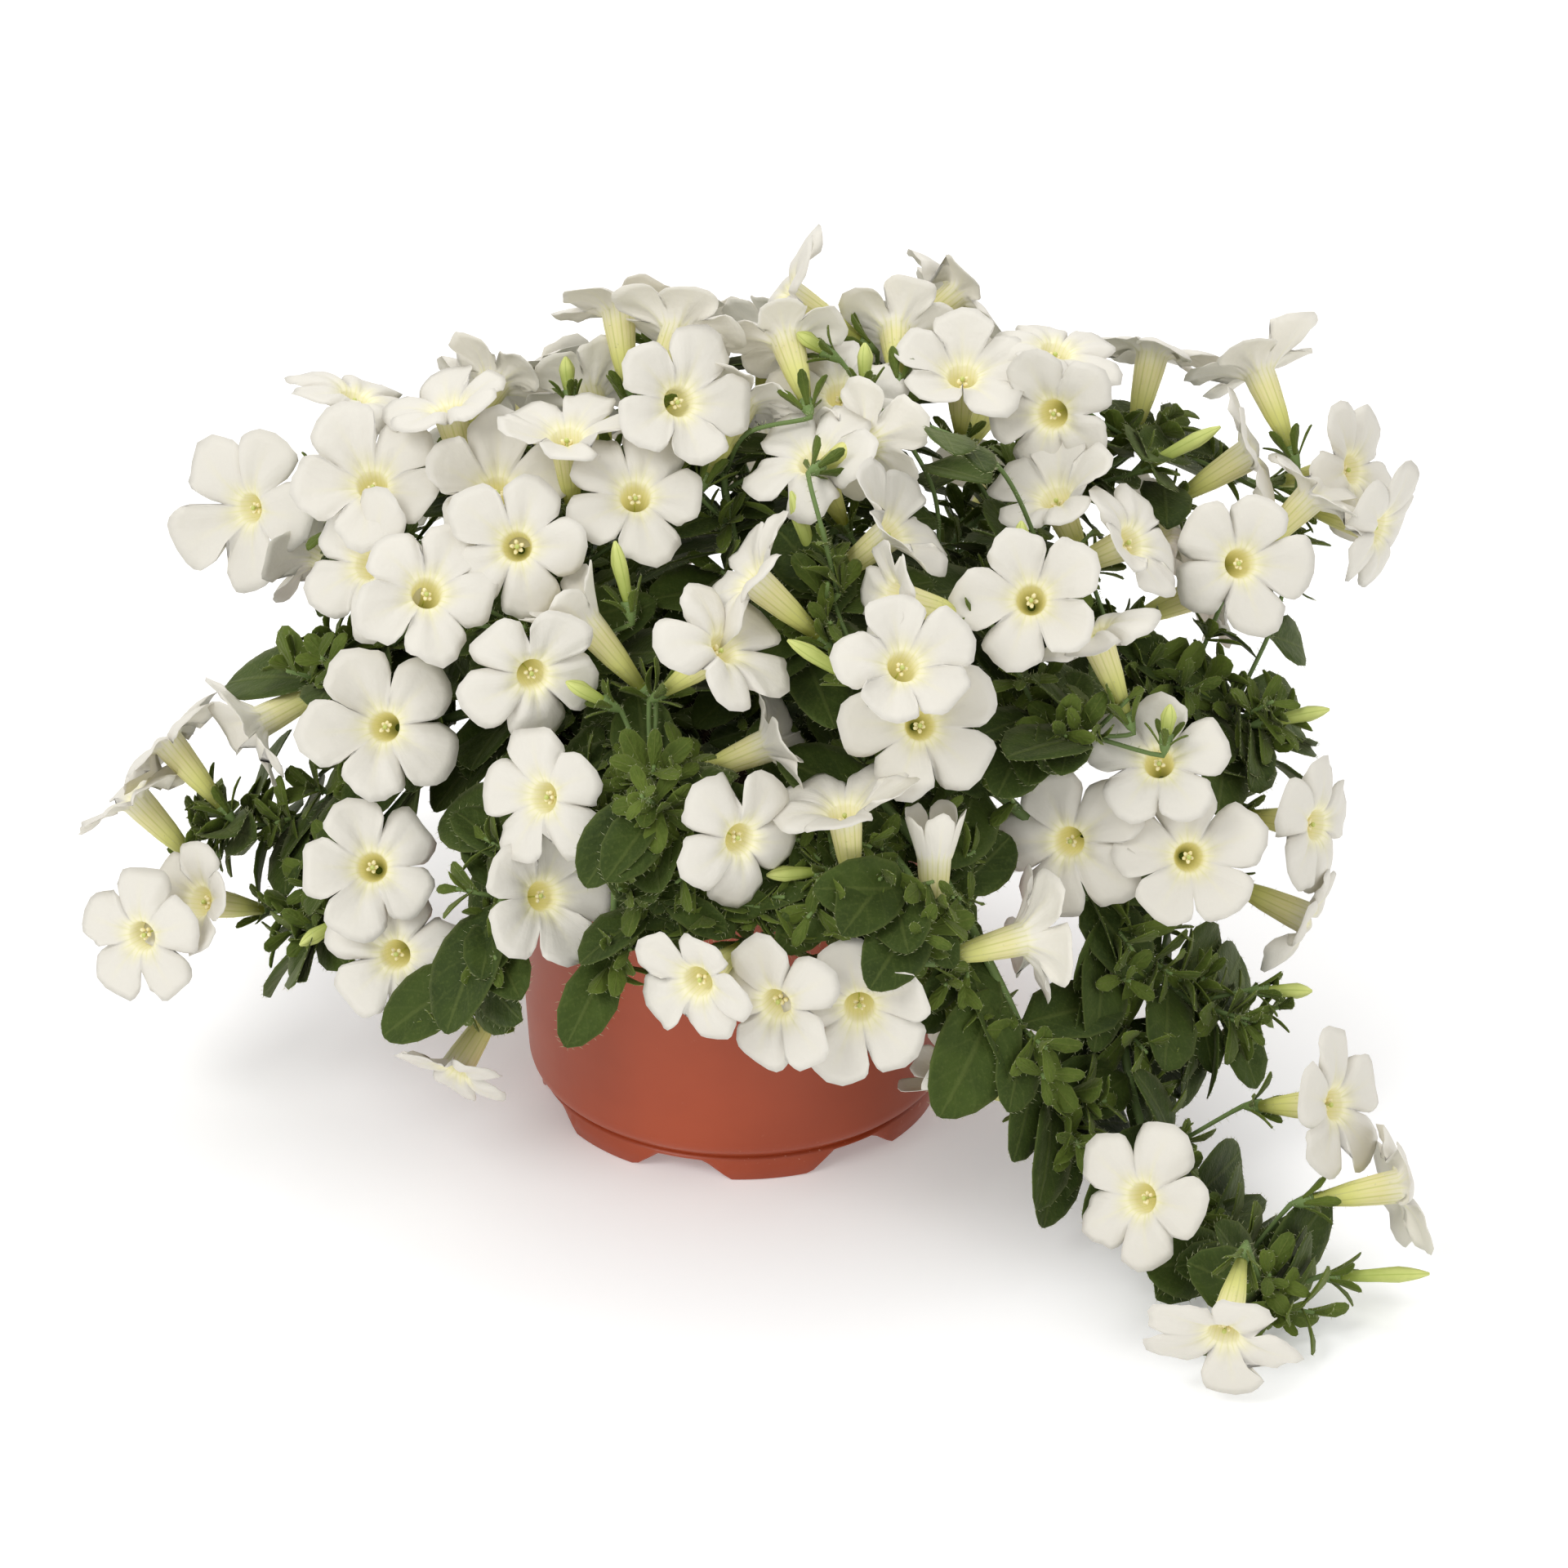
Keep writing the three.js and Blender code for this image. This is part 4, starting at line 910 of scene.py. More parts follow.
@dataclass(frozen=True)
class PotFinish:
    """Moulded terracotta-coloured plastic: satin, a little uneven, scuffed at its foot."""

    clay: Colour = (0.40, 0.065, 0.018)
    deep: Colour = (0.33, 0.050, 0.013)
    scuff: Colour = (0.60, 0.28, 0.18)

    def build(self) -> bpy.types.Material:
        """Returns the material."""
        s = Shader("terracotta_plastic")
        clouds = s.noise(14.0, 4)
        colour = s.mix(s.slope(clouds, 0.3, 0.7), self.clay, self.deep)
        specks = s.slope(s.noise(700.0, 2), 0.66, 0.74)
        height = s.node("SeparateXYZ", {0: s.node("TexCoord").outputs["Object"]}).outputs[2]
        low = s.times(s.slope(height, 0.004, 0.0075), s.slope(height, 0.015, 0.009))
        patchy = s.slope(s.noise(45.0, 3), 0.5, 0.62)
        colour = s.mix(s.times(s.times(specks, low), patchy), colour, self.scuff)
        dust = s.slope(s.noise(380.0, 3), 0.7, 0.8)
        colour = s.mix(s.times(dust, 0.12), colour, self.scuff)
        rough = s.maths("MULTIPLY_ADD", s.noise(30.0, 4), 0.16, 0.3)
        normal = s.relief(s.noise(60.0, 3), 0.35, 0.35)
        normal = s.relief(s.noise(1400.0, 2), 0.25, 0.05, normal)
        return s.finish(colour, normal, Roughness=rough, Specular_IOR_Level=0.45)


@dataclass(frozen=True)
class SoilFinish:
    """Dark, crumbly potting soil with a few pale fibres."""

    dark: Colour = (0.018, 0.011, 0.007)
    light: Colour = (0.075, 0.045, 0.026)

    def build(self) -> bpy.types.Material:
        """Returns the material."""
        s = Shader("potting_soil")
        crumbs = s.noise(420.0, 5, rough=0.7)
        colour = s.mix(s.slope(crumbs, 0.35, 0.68), self.dark, self.light)
        pale = s.slope(s.noise(900.0, 2), 0.68, 0.74)
        colour = s.mix(s.times(pale, 0.5), colour, (0.22, 0.15, 0.09))
        normal = s.relief(crumbs, 0.9, 2.0)
        return s.finish(colour, normal, Roughness=0.95, Specular_IOR_Level=0.15)


@dataclass(frozen=True)
class GroundFinish:
    """The plain pale floor under the plant."""

    pale: Colour = (0.9, 0.9, 0.9)

    def build(self) -> bpy.types.Material:
        """Returns the material."""
        return Shader("pale_floor").finish(self.pale, Roughness=0.7, Specular_IOR_Level=0.1,
                                           Emission_Color=(1.0, 1.0, 1.0, 1.0), Emission_Strength=0.22)


class Trace:
    """The points of a node's solid, to find which way a branch, stalk or leaf took."""

    reach = 0.04

    def __init__(self, node: bpy.types.Object) -> None:
        """Reads the node.

        Args:
            node: The frame's object.
        """
        places = {tuple(round(c / MM, 3) for c in v.co) for v in node.data.vertices}
        self.tree = KDTree(len(places))
        for number, place in enumerate(sorted(places)):
            self.tree.insert(place, number)
        self.tree.balance()

    def around(self, place: Array, radius: float) -> int:
        """Returns how many of the solid's points lie at this distance from a place."""
        near = self.tree.find_range(place, radius + self.reach)
        return sum(abs(distance - radius) < self.reach for _, _, distance in near)

    def hits(self, points: Iterable[Array]) -> int:
        """Returns how many of the points the solid has."""
        return sum(self.tree.find(point)[2] < self.reach for point in points)


@dataclass(frozen=True)
class Flower:
    """An open flower's place and shape, drawn as for its solid."""

    node: str
    facing: Array
    width: float
    open: float
    lobes: tuple[tuple[float, float, float], ...]
    mouth: Array
    seat: Array
    axes: Array
    seed: int


@dataclass
class FlowerForm:
    """The form that all the flowers share."""

    tube: float = 26
    seat: float = 0.3
    mouth: float = 4.6
    foot_inside: float = 1.1
    belly: float = 0.35
    tube_wall: float = 0.55
    limb_wall: float = 0.3
    lobe_count: int = 5
    notch: float = 0.5
    long: tuple[float, float] = (0.93, 1.05)
    bend: float = 1.5
    lean: float = 3
    notch_drop: float = 0.8
    centre: float = 0.8
    rise: float = 4.4
    fold_closed: tuple[float, float] = (6.4, 7)
    fold_open: tuple[float, float] = (8.4, 5.0)
    fold_packed: tuple[float, float] = (8.2, 4.6)
    narrow: float = 0.45
    tall: float = 1.25
    columns: int = 70
    rows: tuple[float, ...] = (0, 0.19, 0.33, 0.4, 0.45, 0.51, 0.58, 0.67, 0.76, 0.85, 0.93, 1.0)
    mouth_row: float = 0.4

    def flare(self, reach: Array, width: float, opening: float,
              fold_open: tuple[float, float]) -> tuple[Array, Array]:
        """Gives the flared limb's curve.

        Args:
            reach: The part of the limb's width, 0 at the mouth and 1 at the edge.
            width: The limb's width.
            opening: How far it has opened.
            fold_open: Where an open limb folds over.

        Returns:
            The distance from the axis and the height above the mouth.
        """
        half = width / 2
        fold = [shut + (flat - shut) * opening for shut, flat in zip(self.fold_closed, fold_open)]
        edge = self.mouth + (half - self.mouth) * self.narrow
        end = [edge + (half - edge) * opening,
               half * self.tall + (self.rise - half * self.tall) * opening]
        rest = 1 - reach
        return tuple(rest ** 2 * a + 2 * rest * reach * b + reach ** 2 * c
                     for a, b, c in zip((self.mouth, 0), fold, end))

    def flower(self, node: str, row: Sequence[float]) -> Flower:
        """Draws one flower.

        Args:
            node: The frame's node that it belongs to.
            row: Its centre, its facing, its width and, if it isn't flat, its opening.

        Returns:
            The flower.
        """
        right, up, near, face_right, face_up, face_near, width, *half_open = row
        opening = half_open[0] if half_open else 1
        facing = unit(from_view(face_right, face_up, face_near))
        seed = (SEED + math.floor(31 * right + 17 * up + 0.5)) & WORD
        draw = Dice(seed)
        roll = 2 * math.pi * draw.draw()
        lobes = tuple((draw.within(*self.long), self.bend * draw.wave(), self.lean * draw.wave())
                      for _ in range(self.lobe_count))
        _, centre_height = self.flare(self.centre, width, opening, self.fold_packed)
        mouth = from_view(right, up, near) - facing * centre_height
        seat = mouth - facing * (self.tube + self.seat)
        return Flower(node, facing, width, opening, lobes, mouth, seat, axes_of(facing, roll), seed)

    def outline(self, across: Array) -> tuple[Array, Array]:
        """Gives a lobe's rounded edge.

        Args:
            across: The place across the lobe, from -1 to 1.

        Returns:
            The turn from the lobe's middle, 1 being at the notch, and the reach.
        """
        swing = across * math.pi / 2
        turn = np.sign(across) * np.abs(np.sin(swing)) ** 0.72 * (1 - 0.06 * np.sin(2 * np.abs(swing)))
        reach = self.notch + (1 - self.notch) * np.abs(np.cos(swing)) ** 0.45
        return turn, reach

    def surface(self, flower: Flower, turn: Array, row: Array) -> Array:
        """Gives the flower's inner face.

        Args:
            flower: The flower.
            turn: The turn about its axis, from 0 to 1.
            row: The place from the tube's foot at 0, by the mouth, to the edge at 1.

        Returns:
            The points, in millimetres.
        """
        lobe = np.floor(turn * self.lobe_count + 0.5).astype(int)
        across = 2 * (turn * self.lobe_count - lobe)
        long, bend, lean = (np.array(column)[lobe % self.lobe_count] for column in zip(*flower.lobes))
        part = np.clip((row - self.mouth_row) / (1 - self.mouth_row), 0, None)
        edge_turn, edge_reach = self.outline(across)
        side = np.abs(across)
        wobble = np.random.default_rng(flower.seed).uniform(-1, 1, (self.lobe_count, 8))
        wobble = wobble[lobe % self.lobe_count].T
        edge_reach *= (1 + (long - 1) * smooth(1.0, 0.5, side))
        edge_reach *= (1 + 0.07 * wobble[3] * across * smooth(1.0, 0.6, side))
        edge_reach += (0.03 + 0.065 * wobble[6]) * np.exp(-(across / 0.18) ** 2)
        edge_reach += 0.018 * np.sin(11 * across + 9 * wobble[2]) * smooth(1.0, 0.7, side)
        spread = across + (edge_turn - across) * smooth(0.0, 1.0, part)
        step = 2 * math.pi / self.lobe_count
        angle = step * (lobe + spread / 2) + np.radians(lean) * part * (1 - side)
        radius, height = self.flare(part * edge_reach, flower.width, flower.open, self.fold_open)
        lift = bend * (1 - side ** 3) - self.notch_drop * side ** 3
        lift -= (1.1 + 0.9 * wobble[0]) * side ** 2 * smooth(1.05, 0.6, side)
        waves = 0.7 * np.sin(math.pi * (1.6 * across + 2 * wobble[1])) * part
        waves += 0.35 * np.sin(math.pi * (3.7 * across + 2 * wobble[2])) * part ** 3
        crease = 1.2 * np.exp(-(across / 0.18) ** 2) * np.sin(math.pi * np.clip(part, 0, 1) ** 0.6)
        curl = (1.0 + 2.2 * wobble[4]) * part ** 4 + 2.8 * wobble[5] * part ** 2
        curl += 2.3 * wobble[7] * spread * part ** 2
        height += flower.open * (lift * part ** 1.5 + waves * part - curl) - crease
        down = np.clip(row / self.mouth_row, 0, 1)
        inside = self.foot_inside + (self.mouth - self.foot_inside) * down ** 0.9
        inside += self.belly * np.sin(math.pi * down)
        in_tube = row < self.mouth_row
        radius = np.where(in_tube, inside, radius)
        height = np.where(in_tube, self.tube * (down - 1), height)
        cup = 3.2 * math.sin(flower.seed) * flower.open
        askew = 0.11 * np.cos(angle - flower.seed) * radius * part * flower.open
        height += np.where(in_tube, 0, cup * part ** 2 + askew)
        return places_round(flower.mouth, flower.axes, radius, angle, height)

    def outside(self, flower: Flower, turn: Array, row: Array) -> tuple[Array, Array]:
        """Gives the flower's outer face, and which way it looks.

        Args:
            flower: The flower.
            turn: The turn about its axis, from 0 to 1.
            row: The place from the tube's foot to the edge.

        Returns:
            The points, and directions of length 1.
        """
        step = 0.002
        round_it = self.surface(flower, turn + step, row) - self.surface(flower, turn - step, row)
        out_of_it = (self.surface(flower, turn, np.minimum(row + step, 1))
                     - self.surface(flower, turn, np.maximum(row - step, 0)))
        behind = unit(np.cross(round_it, out_of_it))
        wall = self.tube_wall + (self.limb_wall - self.tube_wall) * smooth(0.3, 0.6, row)
        wall = wall * (1 - 0.4 * smooth(0.9, 1.0, row))
        return self.surface(flower, turn, row) + behind * wall[:, None], behind

    def place(self, flower: Flower, template: Template) -> Array:
        """Lays the template's sleeve on the flower, its outer layer behind the inner."""
        x, y, row = template.points.T
        turn = np.arctan2(y, x) / (2 * math.pi) % 1
        outer, _ = self.outside(flower, turn, row)
        is_outer = np.hypot(x, y) > 0.9
        return np.where(is_outer[:, None], outer, self.surface(flower, turn, row))


def outer_uvs(template: Template) -> Array:
    """Returns a sleeve's pattern, one turn further on its outer layer."""
    uvs = template.uvs.copy()
    radius = np.hypot(*template.points[template.corners, :2].T)
    uvs[:, 0] += 2.0 * (radius > 0.9)
    return uvs


def add_hairs(stack: Stack, slot: int, roots: Array, ways: Array, lengths: Array,
              radius: float = 0.095) -> None:
    """Adds fine hairs to a piece, each a three-sided spike.

    Args:
        stack: The piece.
        slot: The number of their finish.
        roots: Where they start.
        ways: The way that each one points.
        lengths: Their lengths.
        radius: Their radius at the foot.
    """
    if not len(roots):
        return
    hair = hair_template()
    along = unit(ways)
    steep = np.abs(along[:, 2:]) > 0.9
    across = unit(np.cross(along, np.where(steep, EAST, UP)))
    other = np.cross(along, across)
    x, y, z = (hair.points[:, k] for k in range(3))
    spikes = (radius * (x[None, :, None] * across[:, None] + y[None, :, None] * other[:, None])
              + z[None, :, None] * (along * np.asarray(lengths)[:, None])[:, None])
    stack.add(hair, roots[:, None] + spikes, slot)


class Outline(Enum):
    """The kinds of leaf, by outline."""

    OVATE = "ovate"
    SPATULATE = "spatulate"
    SEPAL = "sepal"

    def half_width(self, along: Array) -> Array:
        """Returns the half width, as a part of the full width, along the leaf."""
        x = np.clip(along, 0, 1)
        if self is Outline.OVATE:
            full = 0.5 * np.sin(math.pi * x ** 1.12) ** 0.5 * smooth(-0.1, 0.24, x)
        else:
            waist, widest = (0.4, 0.62) if self is Outline.SPATULATE else (0.45, 0.66)
            blade = waist + (1 - waist) * smooth(0.1, widest, x)
            tip = np.clip(1 - (np.clip(x - widest, 0, 1) / (1 - widest)) ** 2, 0.03, 1) ** 0.4
            full = 0.5 * blade * tip
        return np.maximum(full, 0.035)


@dataclass(frozen=True)
class Blade:
    """One leaf: where it starts, how it lies, and its size."""

    root: Array
    along: Array
    normal: Array
    length: float
    width: float
    droop: float
    fold: float
    outline: Outline = Outline.OVATE
    wave: float = 0.0
    phase: float = 0.0

    def surface(self, across: Array, along: Array) -> Array:
        """Gives the leaf's middle face.

        Args:
            across: From -1 at one margin to 1 at the other.
            along: From 0 at the foot to 1 at the tip.

        Returns:
            The points, in millimetres.
        """
        side = np.cross(self.normal, self.along)
        x = (1 - np.cos(math.pi * along)) / 2
        y = across * self.outline.half_width(x)
        hollow = self.fold * self.width * (np.sqrt(y * y + 0.0009) - 0.03)
        ripple = self.wave * across ** 2 * np.sin(9 * x + self.phase + across)
        lift = hollow - self.droop * self.length * x * x + ripple
        return (self.root + (x * self.length)[:, None] * self.along
                + (y * self.width)[:, None] * side + lift[:, None] * self.normal)

    def place(self, template: Template, thick: float) -> Array:
        """Lays a plate on the leaf, its two layers a little apart."""
        across, along, layer = template.points.T
        step = 0.01
        middle = self.surface(across, along)
        aside = self.surface(across + step, along) - self.surface(across - step, along)
        onward = (self.surface(across, np.minimum(along + step, 1))
                  - self.surface(across, np.maximum(along - step, 0)))
        above = unit(np.cross(onward, aside))
        edge = 1 - 0.5 * np.abs(across) ** 3
        return middle + above * ((layer - 0.5) * thick * edge)[:, None]

    def margin(self, count: int) -> tuple[Array, Array]:
        """Gives roots and ways for hairs along both margins.

        Args:
            count: The number of hairs on each side.

        Returns:
            The roots and the directions.
        """
        draw = np.random.default_rng(int(abs(self.root.sum() * 1000)) % 99991)
        along = np.tile(np.linspace(0.06, 0.985, count), 2) + draw.uniform(-0.012, 0.012, 2 * count)
        side = np.repeat([-1.0, 1.0], count)
        edge = self.surface(side, along)
        out = unit(edge - self.surface(side * 0.7, along))
        ways = out + 0.3 * self.along + draw.normal(0, 0.28, out.shape)
        return edge - 0.1 * out, ways


@dataclass(frozen=True)
class Branch:
    """A stem's branch: the path that its solid took, and the curve under it."""

    stem: str
    path: Array
    controls: tuple[Array, ...]
    rooted: bool

    @property
    def first(self) -> int:
        """Returns the first joint with a leaf."""
        return 3 if self.rooted else 1


@dataclass(frozen=True)
class Stalk:
    """A stalk from a stem's joint to a calyx, with a flower or a bud at its end."""

    stem: str
    points: Array
    facing: Array
    bud: float = 0.0


@dataclass
class StemForm:
    """The form of the stems, stalks and leaves, and the ways that they may take."""

    foot: float = 2.6
    fork: float = 1.9
    tip: float = 1.2
    sides: int = 3
    step: float = 24
    soil_top: float = 113
    soil_crown: float = 3
    hole_depth: float = 14
    clear: float = 0.35
    joint: float = 0.7
    tip_joint: float = 0.95
    stalk_foot: float = 0.9
    neck: float = 1.0
    calyx: float = 2.6
    calyx_length: float = 6
    behind: float = 12
    reach: float = 95
    bends: tuple[float, ...] = (0, 8, 16, 26, 36)
    turns: int = 6
    bud_radii: tuple[float, ...] = (2.1, 2.2, 0.6)
    bud_widest: float = 0.55
    bud_shifts: tuple[float, ...] = (0, 4, -4, 8, -8, 12, -12)
    leaf_joint: float = 0.35
    leaf_length: float = 39
    leaf_width: float = 24
    leaf_thick: float = 0.75
    outward_from: float = 60
    outward_lean: float = 0.8
    outward_light: float = 0.45

    def shifts(self) -> Iterator[Array]:
        """Yields the shifts that a branch may take, past its root."""
        yield np.zeros(3)
        for far in (4, 8, 12, 16):
            for axis, sign in ((0, 1), (0, -1), (1, -1), (1, 1), (2, 1), (2, -1)):
                shift = np.zeros(3)
                shift[axis] = sign * far
                yield shift

    def branch_ways(self, stem: str, start: Optional[float], points: Sequence[Sequence[float]],
                    grown: Sequence[Branch]) -> Iterator[Branch]:
        """Yields the ways that a branch may go.

        Args:
            stem: The stem's node.
            start: The part of the main branch that a fork starts at.
            points: The branch's points.
            grown: The stem's earlier branches.

        Yields:
            Each way, the first one straight along the points.
        """
        x, y = LEAFY_STEMS[stem][0]
        rooted = start is None
        if rooted:
            roots = [np.array([x, y, self.soil_top - self.hole_depth + self.clear]),
                     np.array([x, y, self.soil_top + 2 * self.soil_crown])]
        else:
            main = grown[0].path
            roots = [main[math.floor(start * (len(main) - 1) + 0.5)]]
        for shift in self.shifts():
            controls = roots + [np.array(point, float) + shift for point in points]
            steps = max(3, math.floor(length_of(np.array(controls)) / self.step + 0.5))
            path = curve_points(controls, steps)
            if rooted:
                soil = np.array([x, y, self.soil_top + self.soil_crown + self.clear])
                path = np.insert(path, 1, soil, axis=0)
            yield Branch(stem, path, tuple(controls), rooted)

    def branch_rings(self, branch: Branch) -> Array:
        """Returns the ring points of a branch's solid."""
        part = np.arange(len(branch.path)) / (len(branch.path) - 1)
        start = self.foot if branch.rooted else self.fork
        radii = start + (self.tip - start) * part
        if branch.rooted:
            radii[1] = self.foot
        return tube_rings(branch.path, radii, self.sides)

    def joints(self, branches: Sequence[Branch]) -> list[tuple[str, Array]]:
        """Returns the places on the branches that a stalk may grow from."""
        found = []
        for branch in branches:
            path = branch.path
            for i in range(branch.first, len(path) - 1):
                found.append((branch.stem, path[i] + self.joint * (path[i + 1] - path[i])))
            found.append((branch.stem, path[-2] + self.tip_joint * (path[-1] - path[-2])))
        return found

    def stalk_ways(self, joints: Sequence[tuple[str, Array]], seat: Array,
                   facing: Array) -> Iterator[Stalk]:
        """Yields the ways that a stalk may go, straight ones first.

        Args:
            joints: Where it may start.
            seat: Where its flower or bud sits.
            facing: The way that this faces.

        Yields:
            Each way.
        """
        heel = seat - facing * self.calyx_length
        target = heel - facing * self.behind
        far = [(float(np.linalg.norm(place - target)), number) for number, (_, place) in enumerate(joints)]
        near = [joints[number] for distance, number in sorted(far) if distance < self.reach]
        for bend in self.bends:
            for stem, place in near:
                if bend == 0:
                    yield Stalk(stem, np.array([place, heel, seat]), facing)
                    continue
                axes = axes_of(unit(heel - place), 0)
                for k in range(self.turns):
                    middle = (place + heel) / 2 + bend * sideways(axes, 2 * math.pi * k / self.turns)
                    yield Stalk(stem, np.array([place, middle, heel, seat]), facing)

    def stalk_rings(self, stalk: Stalk) -> Array:
        """Returns the ring points of a stalk's solid, with its bud if it has one."""
        path = stalk.points
        radii = [self.stalk_foot] * (len(path) - 2) + [self.neck, self.calyx]
        if stalk.bud:
            ahead = [path[-1] + stalk.facing * stalk.bud * part for part in (self.bud_widest, 1)]
            path = np.vstack([path, ahead])
            radii = radii[:-1] + list(self.bud_radii)
        return tube_rings(path, radii, self.sides)

    def outward(self, place: Array) -> Array:
        """Returns the way out of the plant at a place, tipped a little to the light."""
        out = unit(place - UP * self.outward_from)
        return unit(out * self.outward_lean + UP * self.outward_light)

    def leaf_ways(self, root: Array, tangent: Array, hand: int, draw: Dice) -> list[Blade]:
        """Gives the ways that a leaf may lie.

        Args:
            root: Where it starts.
            tangent: The way that its stem goes there.
            hand: 1 or -1, the side of the stem.
            draw: The leaf's draws.

        Returns:
            The leaves, in the order that they are tried.
        """
        normal = self.outward(root)
        spread = math.radians(draw.within(38, 82))
        rise = draw.within(-0.1, 0.25)
        length = self.leaf_length * draw.within(0.78, 1.12)
        width = self.leaf_width * (length / self.leaf_length) * draw.within(0.88, 1.08)
        droop = draw.within(0.06, 0.26)
        fold = draw.within(0.12, 0.32)
        side = unit(np.cross(normal, tangent))
        heading = tangent * math.cos(spread) + side * (hand * math.sin(spread))
        heading = unit(heading - normal * (heading @ normal))
        ways = []
        for size in (1, 0.78):
            for turn, lift in ((0, 0), (26, 0.15), (-26, 0.15), (0, 0.5), (58, 0.1), (-58, 0.1),
                               (100, 0.2), (150, 0.3), (-110, 0.2), (0, 0.9)):
                flat = turned(heading, normal, hand * math.radians(turn))
                along = unit(flat + normal * (rise + lift))
                face = unit(normal - along * (normal @ along))
                ways.append(Blade(root, along, face, length * size, width * size, droop, fold,
                                  Outline.OVATE, 0.3, 7 * length))
        return ways

    def leaf_corners(self, leaf: Blade) -> Array:
        """Returns the corner points of a leaf's solid, past its root."""
        side = np.cross(leaf.normal, leaf.along)
        places = [(1, 0, 0)]
        for x, y in ((0.26, 0.4), (0.7, 0.46), (0.7, -0.46), (0.26, -0.4), (0.52, 0)):
            places += [(x, y, self.leaf_thick / 2), (x, y, -self.leaf_thick / 2)]
        return np.array([
            leaf.root + leaf.along * (x * leaf.length) + side * (y * leaf.width)
            + leaf.normal * (leaf.fold * abs(y) * leaf.width - leaf.droop * leaf.length * x * x + lift)
            for x, y, lift in places])


class Room:
    """Where a leaf may go: off the flowers and the pot, above the ground, inside the box."""

    over_box = 2
    over_ground = 1
    pot_top = 129
    pot_reach = 77
    limb = (-4, 9)
    tube = (-27, 0)
    face = 28

    def __init__(self, flowers: Sequence[Flower], shown: int, box: tuple[Vector, Vector]) -> None:
        """Takes the flowers' places.

        Args:
            flowers: All the flowers.
            shown: How many of them the viewer sees and a leaf doesn't cover.
            box: The frame's box, in metres.
        """
        self.mouths = np.array([f.mouth for f in flowers])
        self.facings = np.array([f.facing for f in flowers])
        self.halves = np.array([f.width * (0.35 + 0.15 * f.open) for f in flowers])
        self.shown = shown
        centres = to_view(self.mouths[:shown] + 3 * self.facings[:shown])
        self.near = centres[:, 2]
        self.seen = Studio.seen(centres)
        self.low, self.high = (np.array(corner) / MM for corner in box)

    def is_free(self, points: Array) -> bool:
        """Tests whether points are all in free room."""
        x, y, z = points.T
        outside = (points < self.low - self.over_box) | (points > self.high + self.over_box)
        by_pot = (z < self.pot_top) & (np.hypot(x, y) < self.pot_reach)
        if outside.any() or by_pot.any() or (z < self.over_ground).any():
            return False
        gap = points[:, None] - self.mouths
        height = (gap * self.facings).sum(axis=2)
        radius = np.sqrt(np.maximum((gap ** 2).sum(axis=2) - height ** 2, 0))
        (low, high), (foot, mouth) = self.limb, self.tube
        on_limb = (height > low) & (height < high) & (radius < self.halves + 1)
        on_tube = (height > foot) & (height <= mouth) & (radius < 2.6 + (height + 26) * 0.17)
        in_face = (height >= high) & (height < self.face) & (radius < 0.6 * self.halves)
        if (on_limb | on_tube | in_face).any():
            return False
        view = to_view(points)
        apart = np.linalg.norm(Studio.seen(view)[:, None] - self.seen, axis=2)
        covers = (apart < 0.85 * self.halves[:self.shown]) & (view[:, 2:] > self.near - 2)
        return not covers.any()


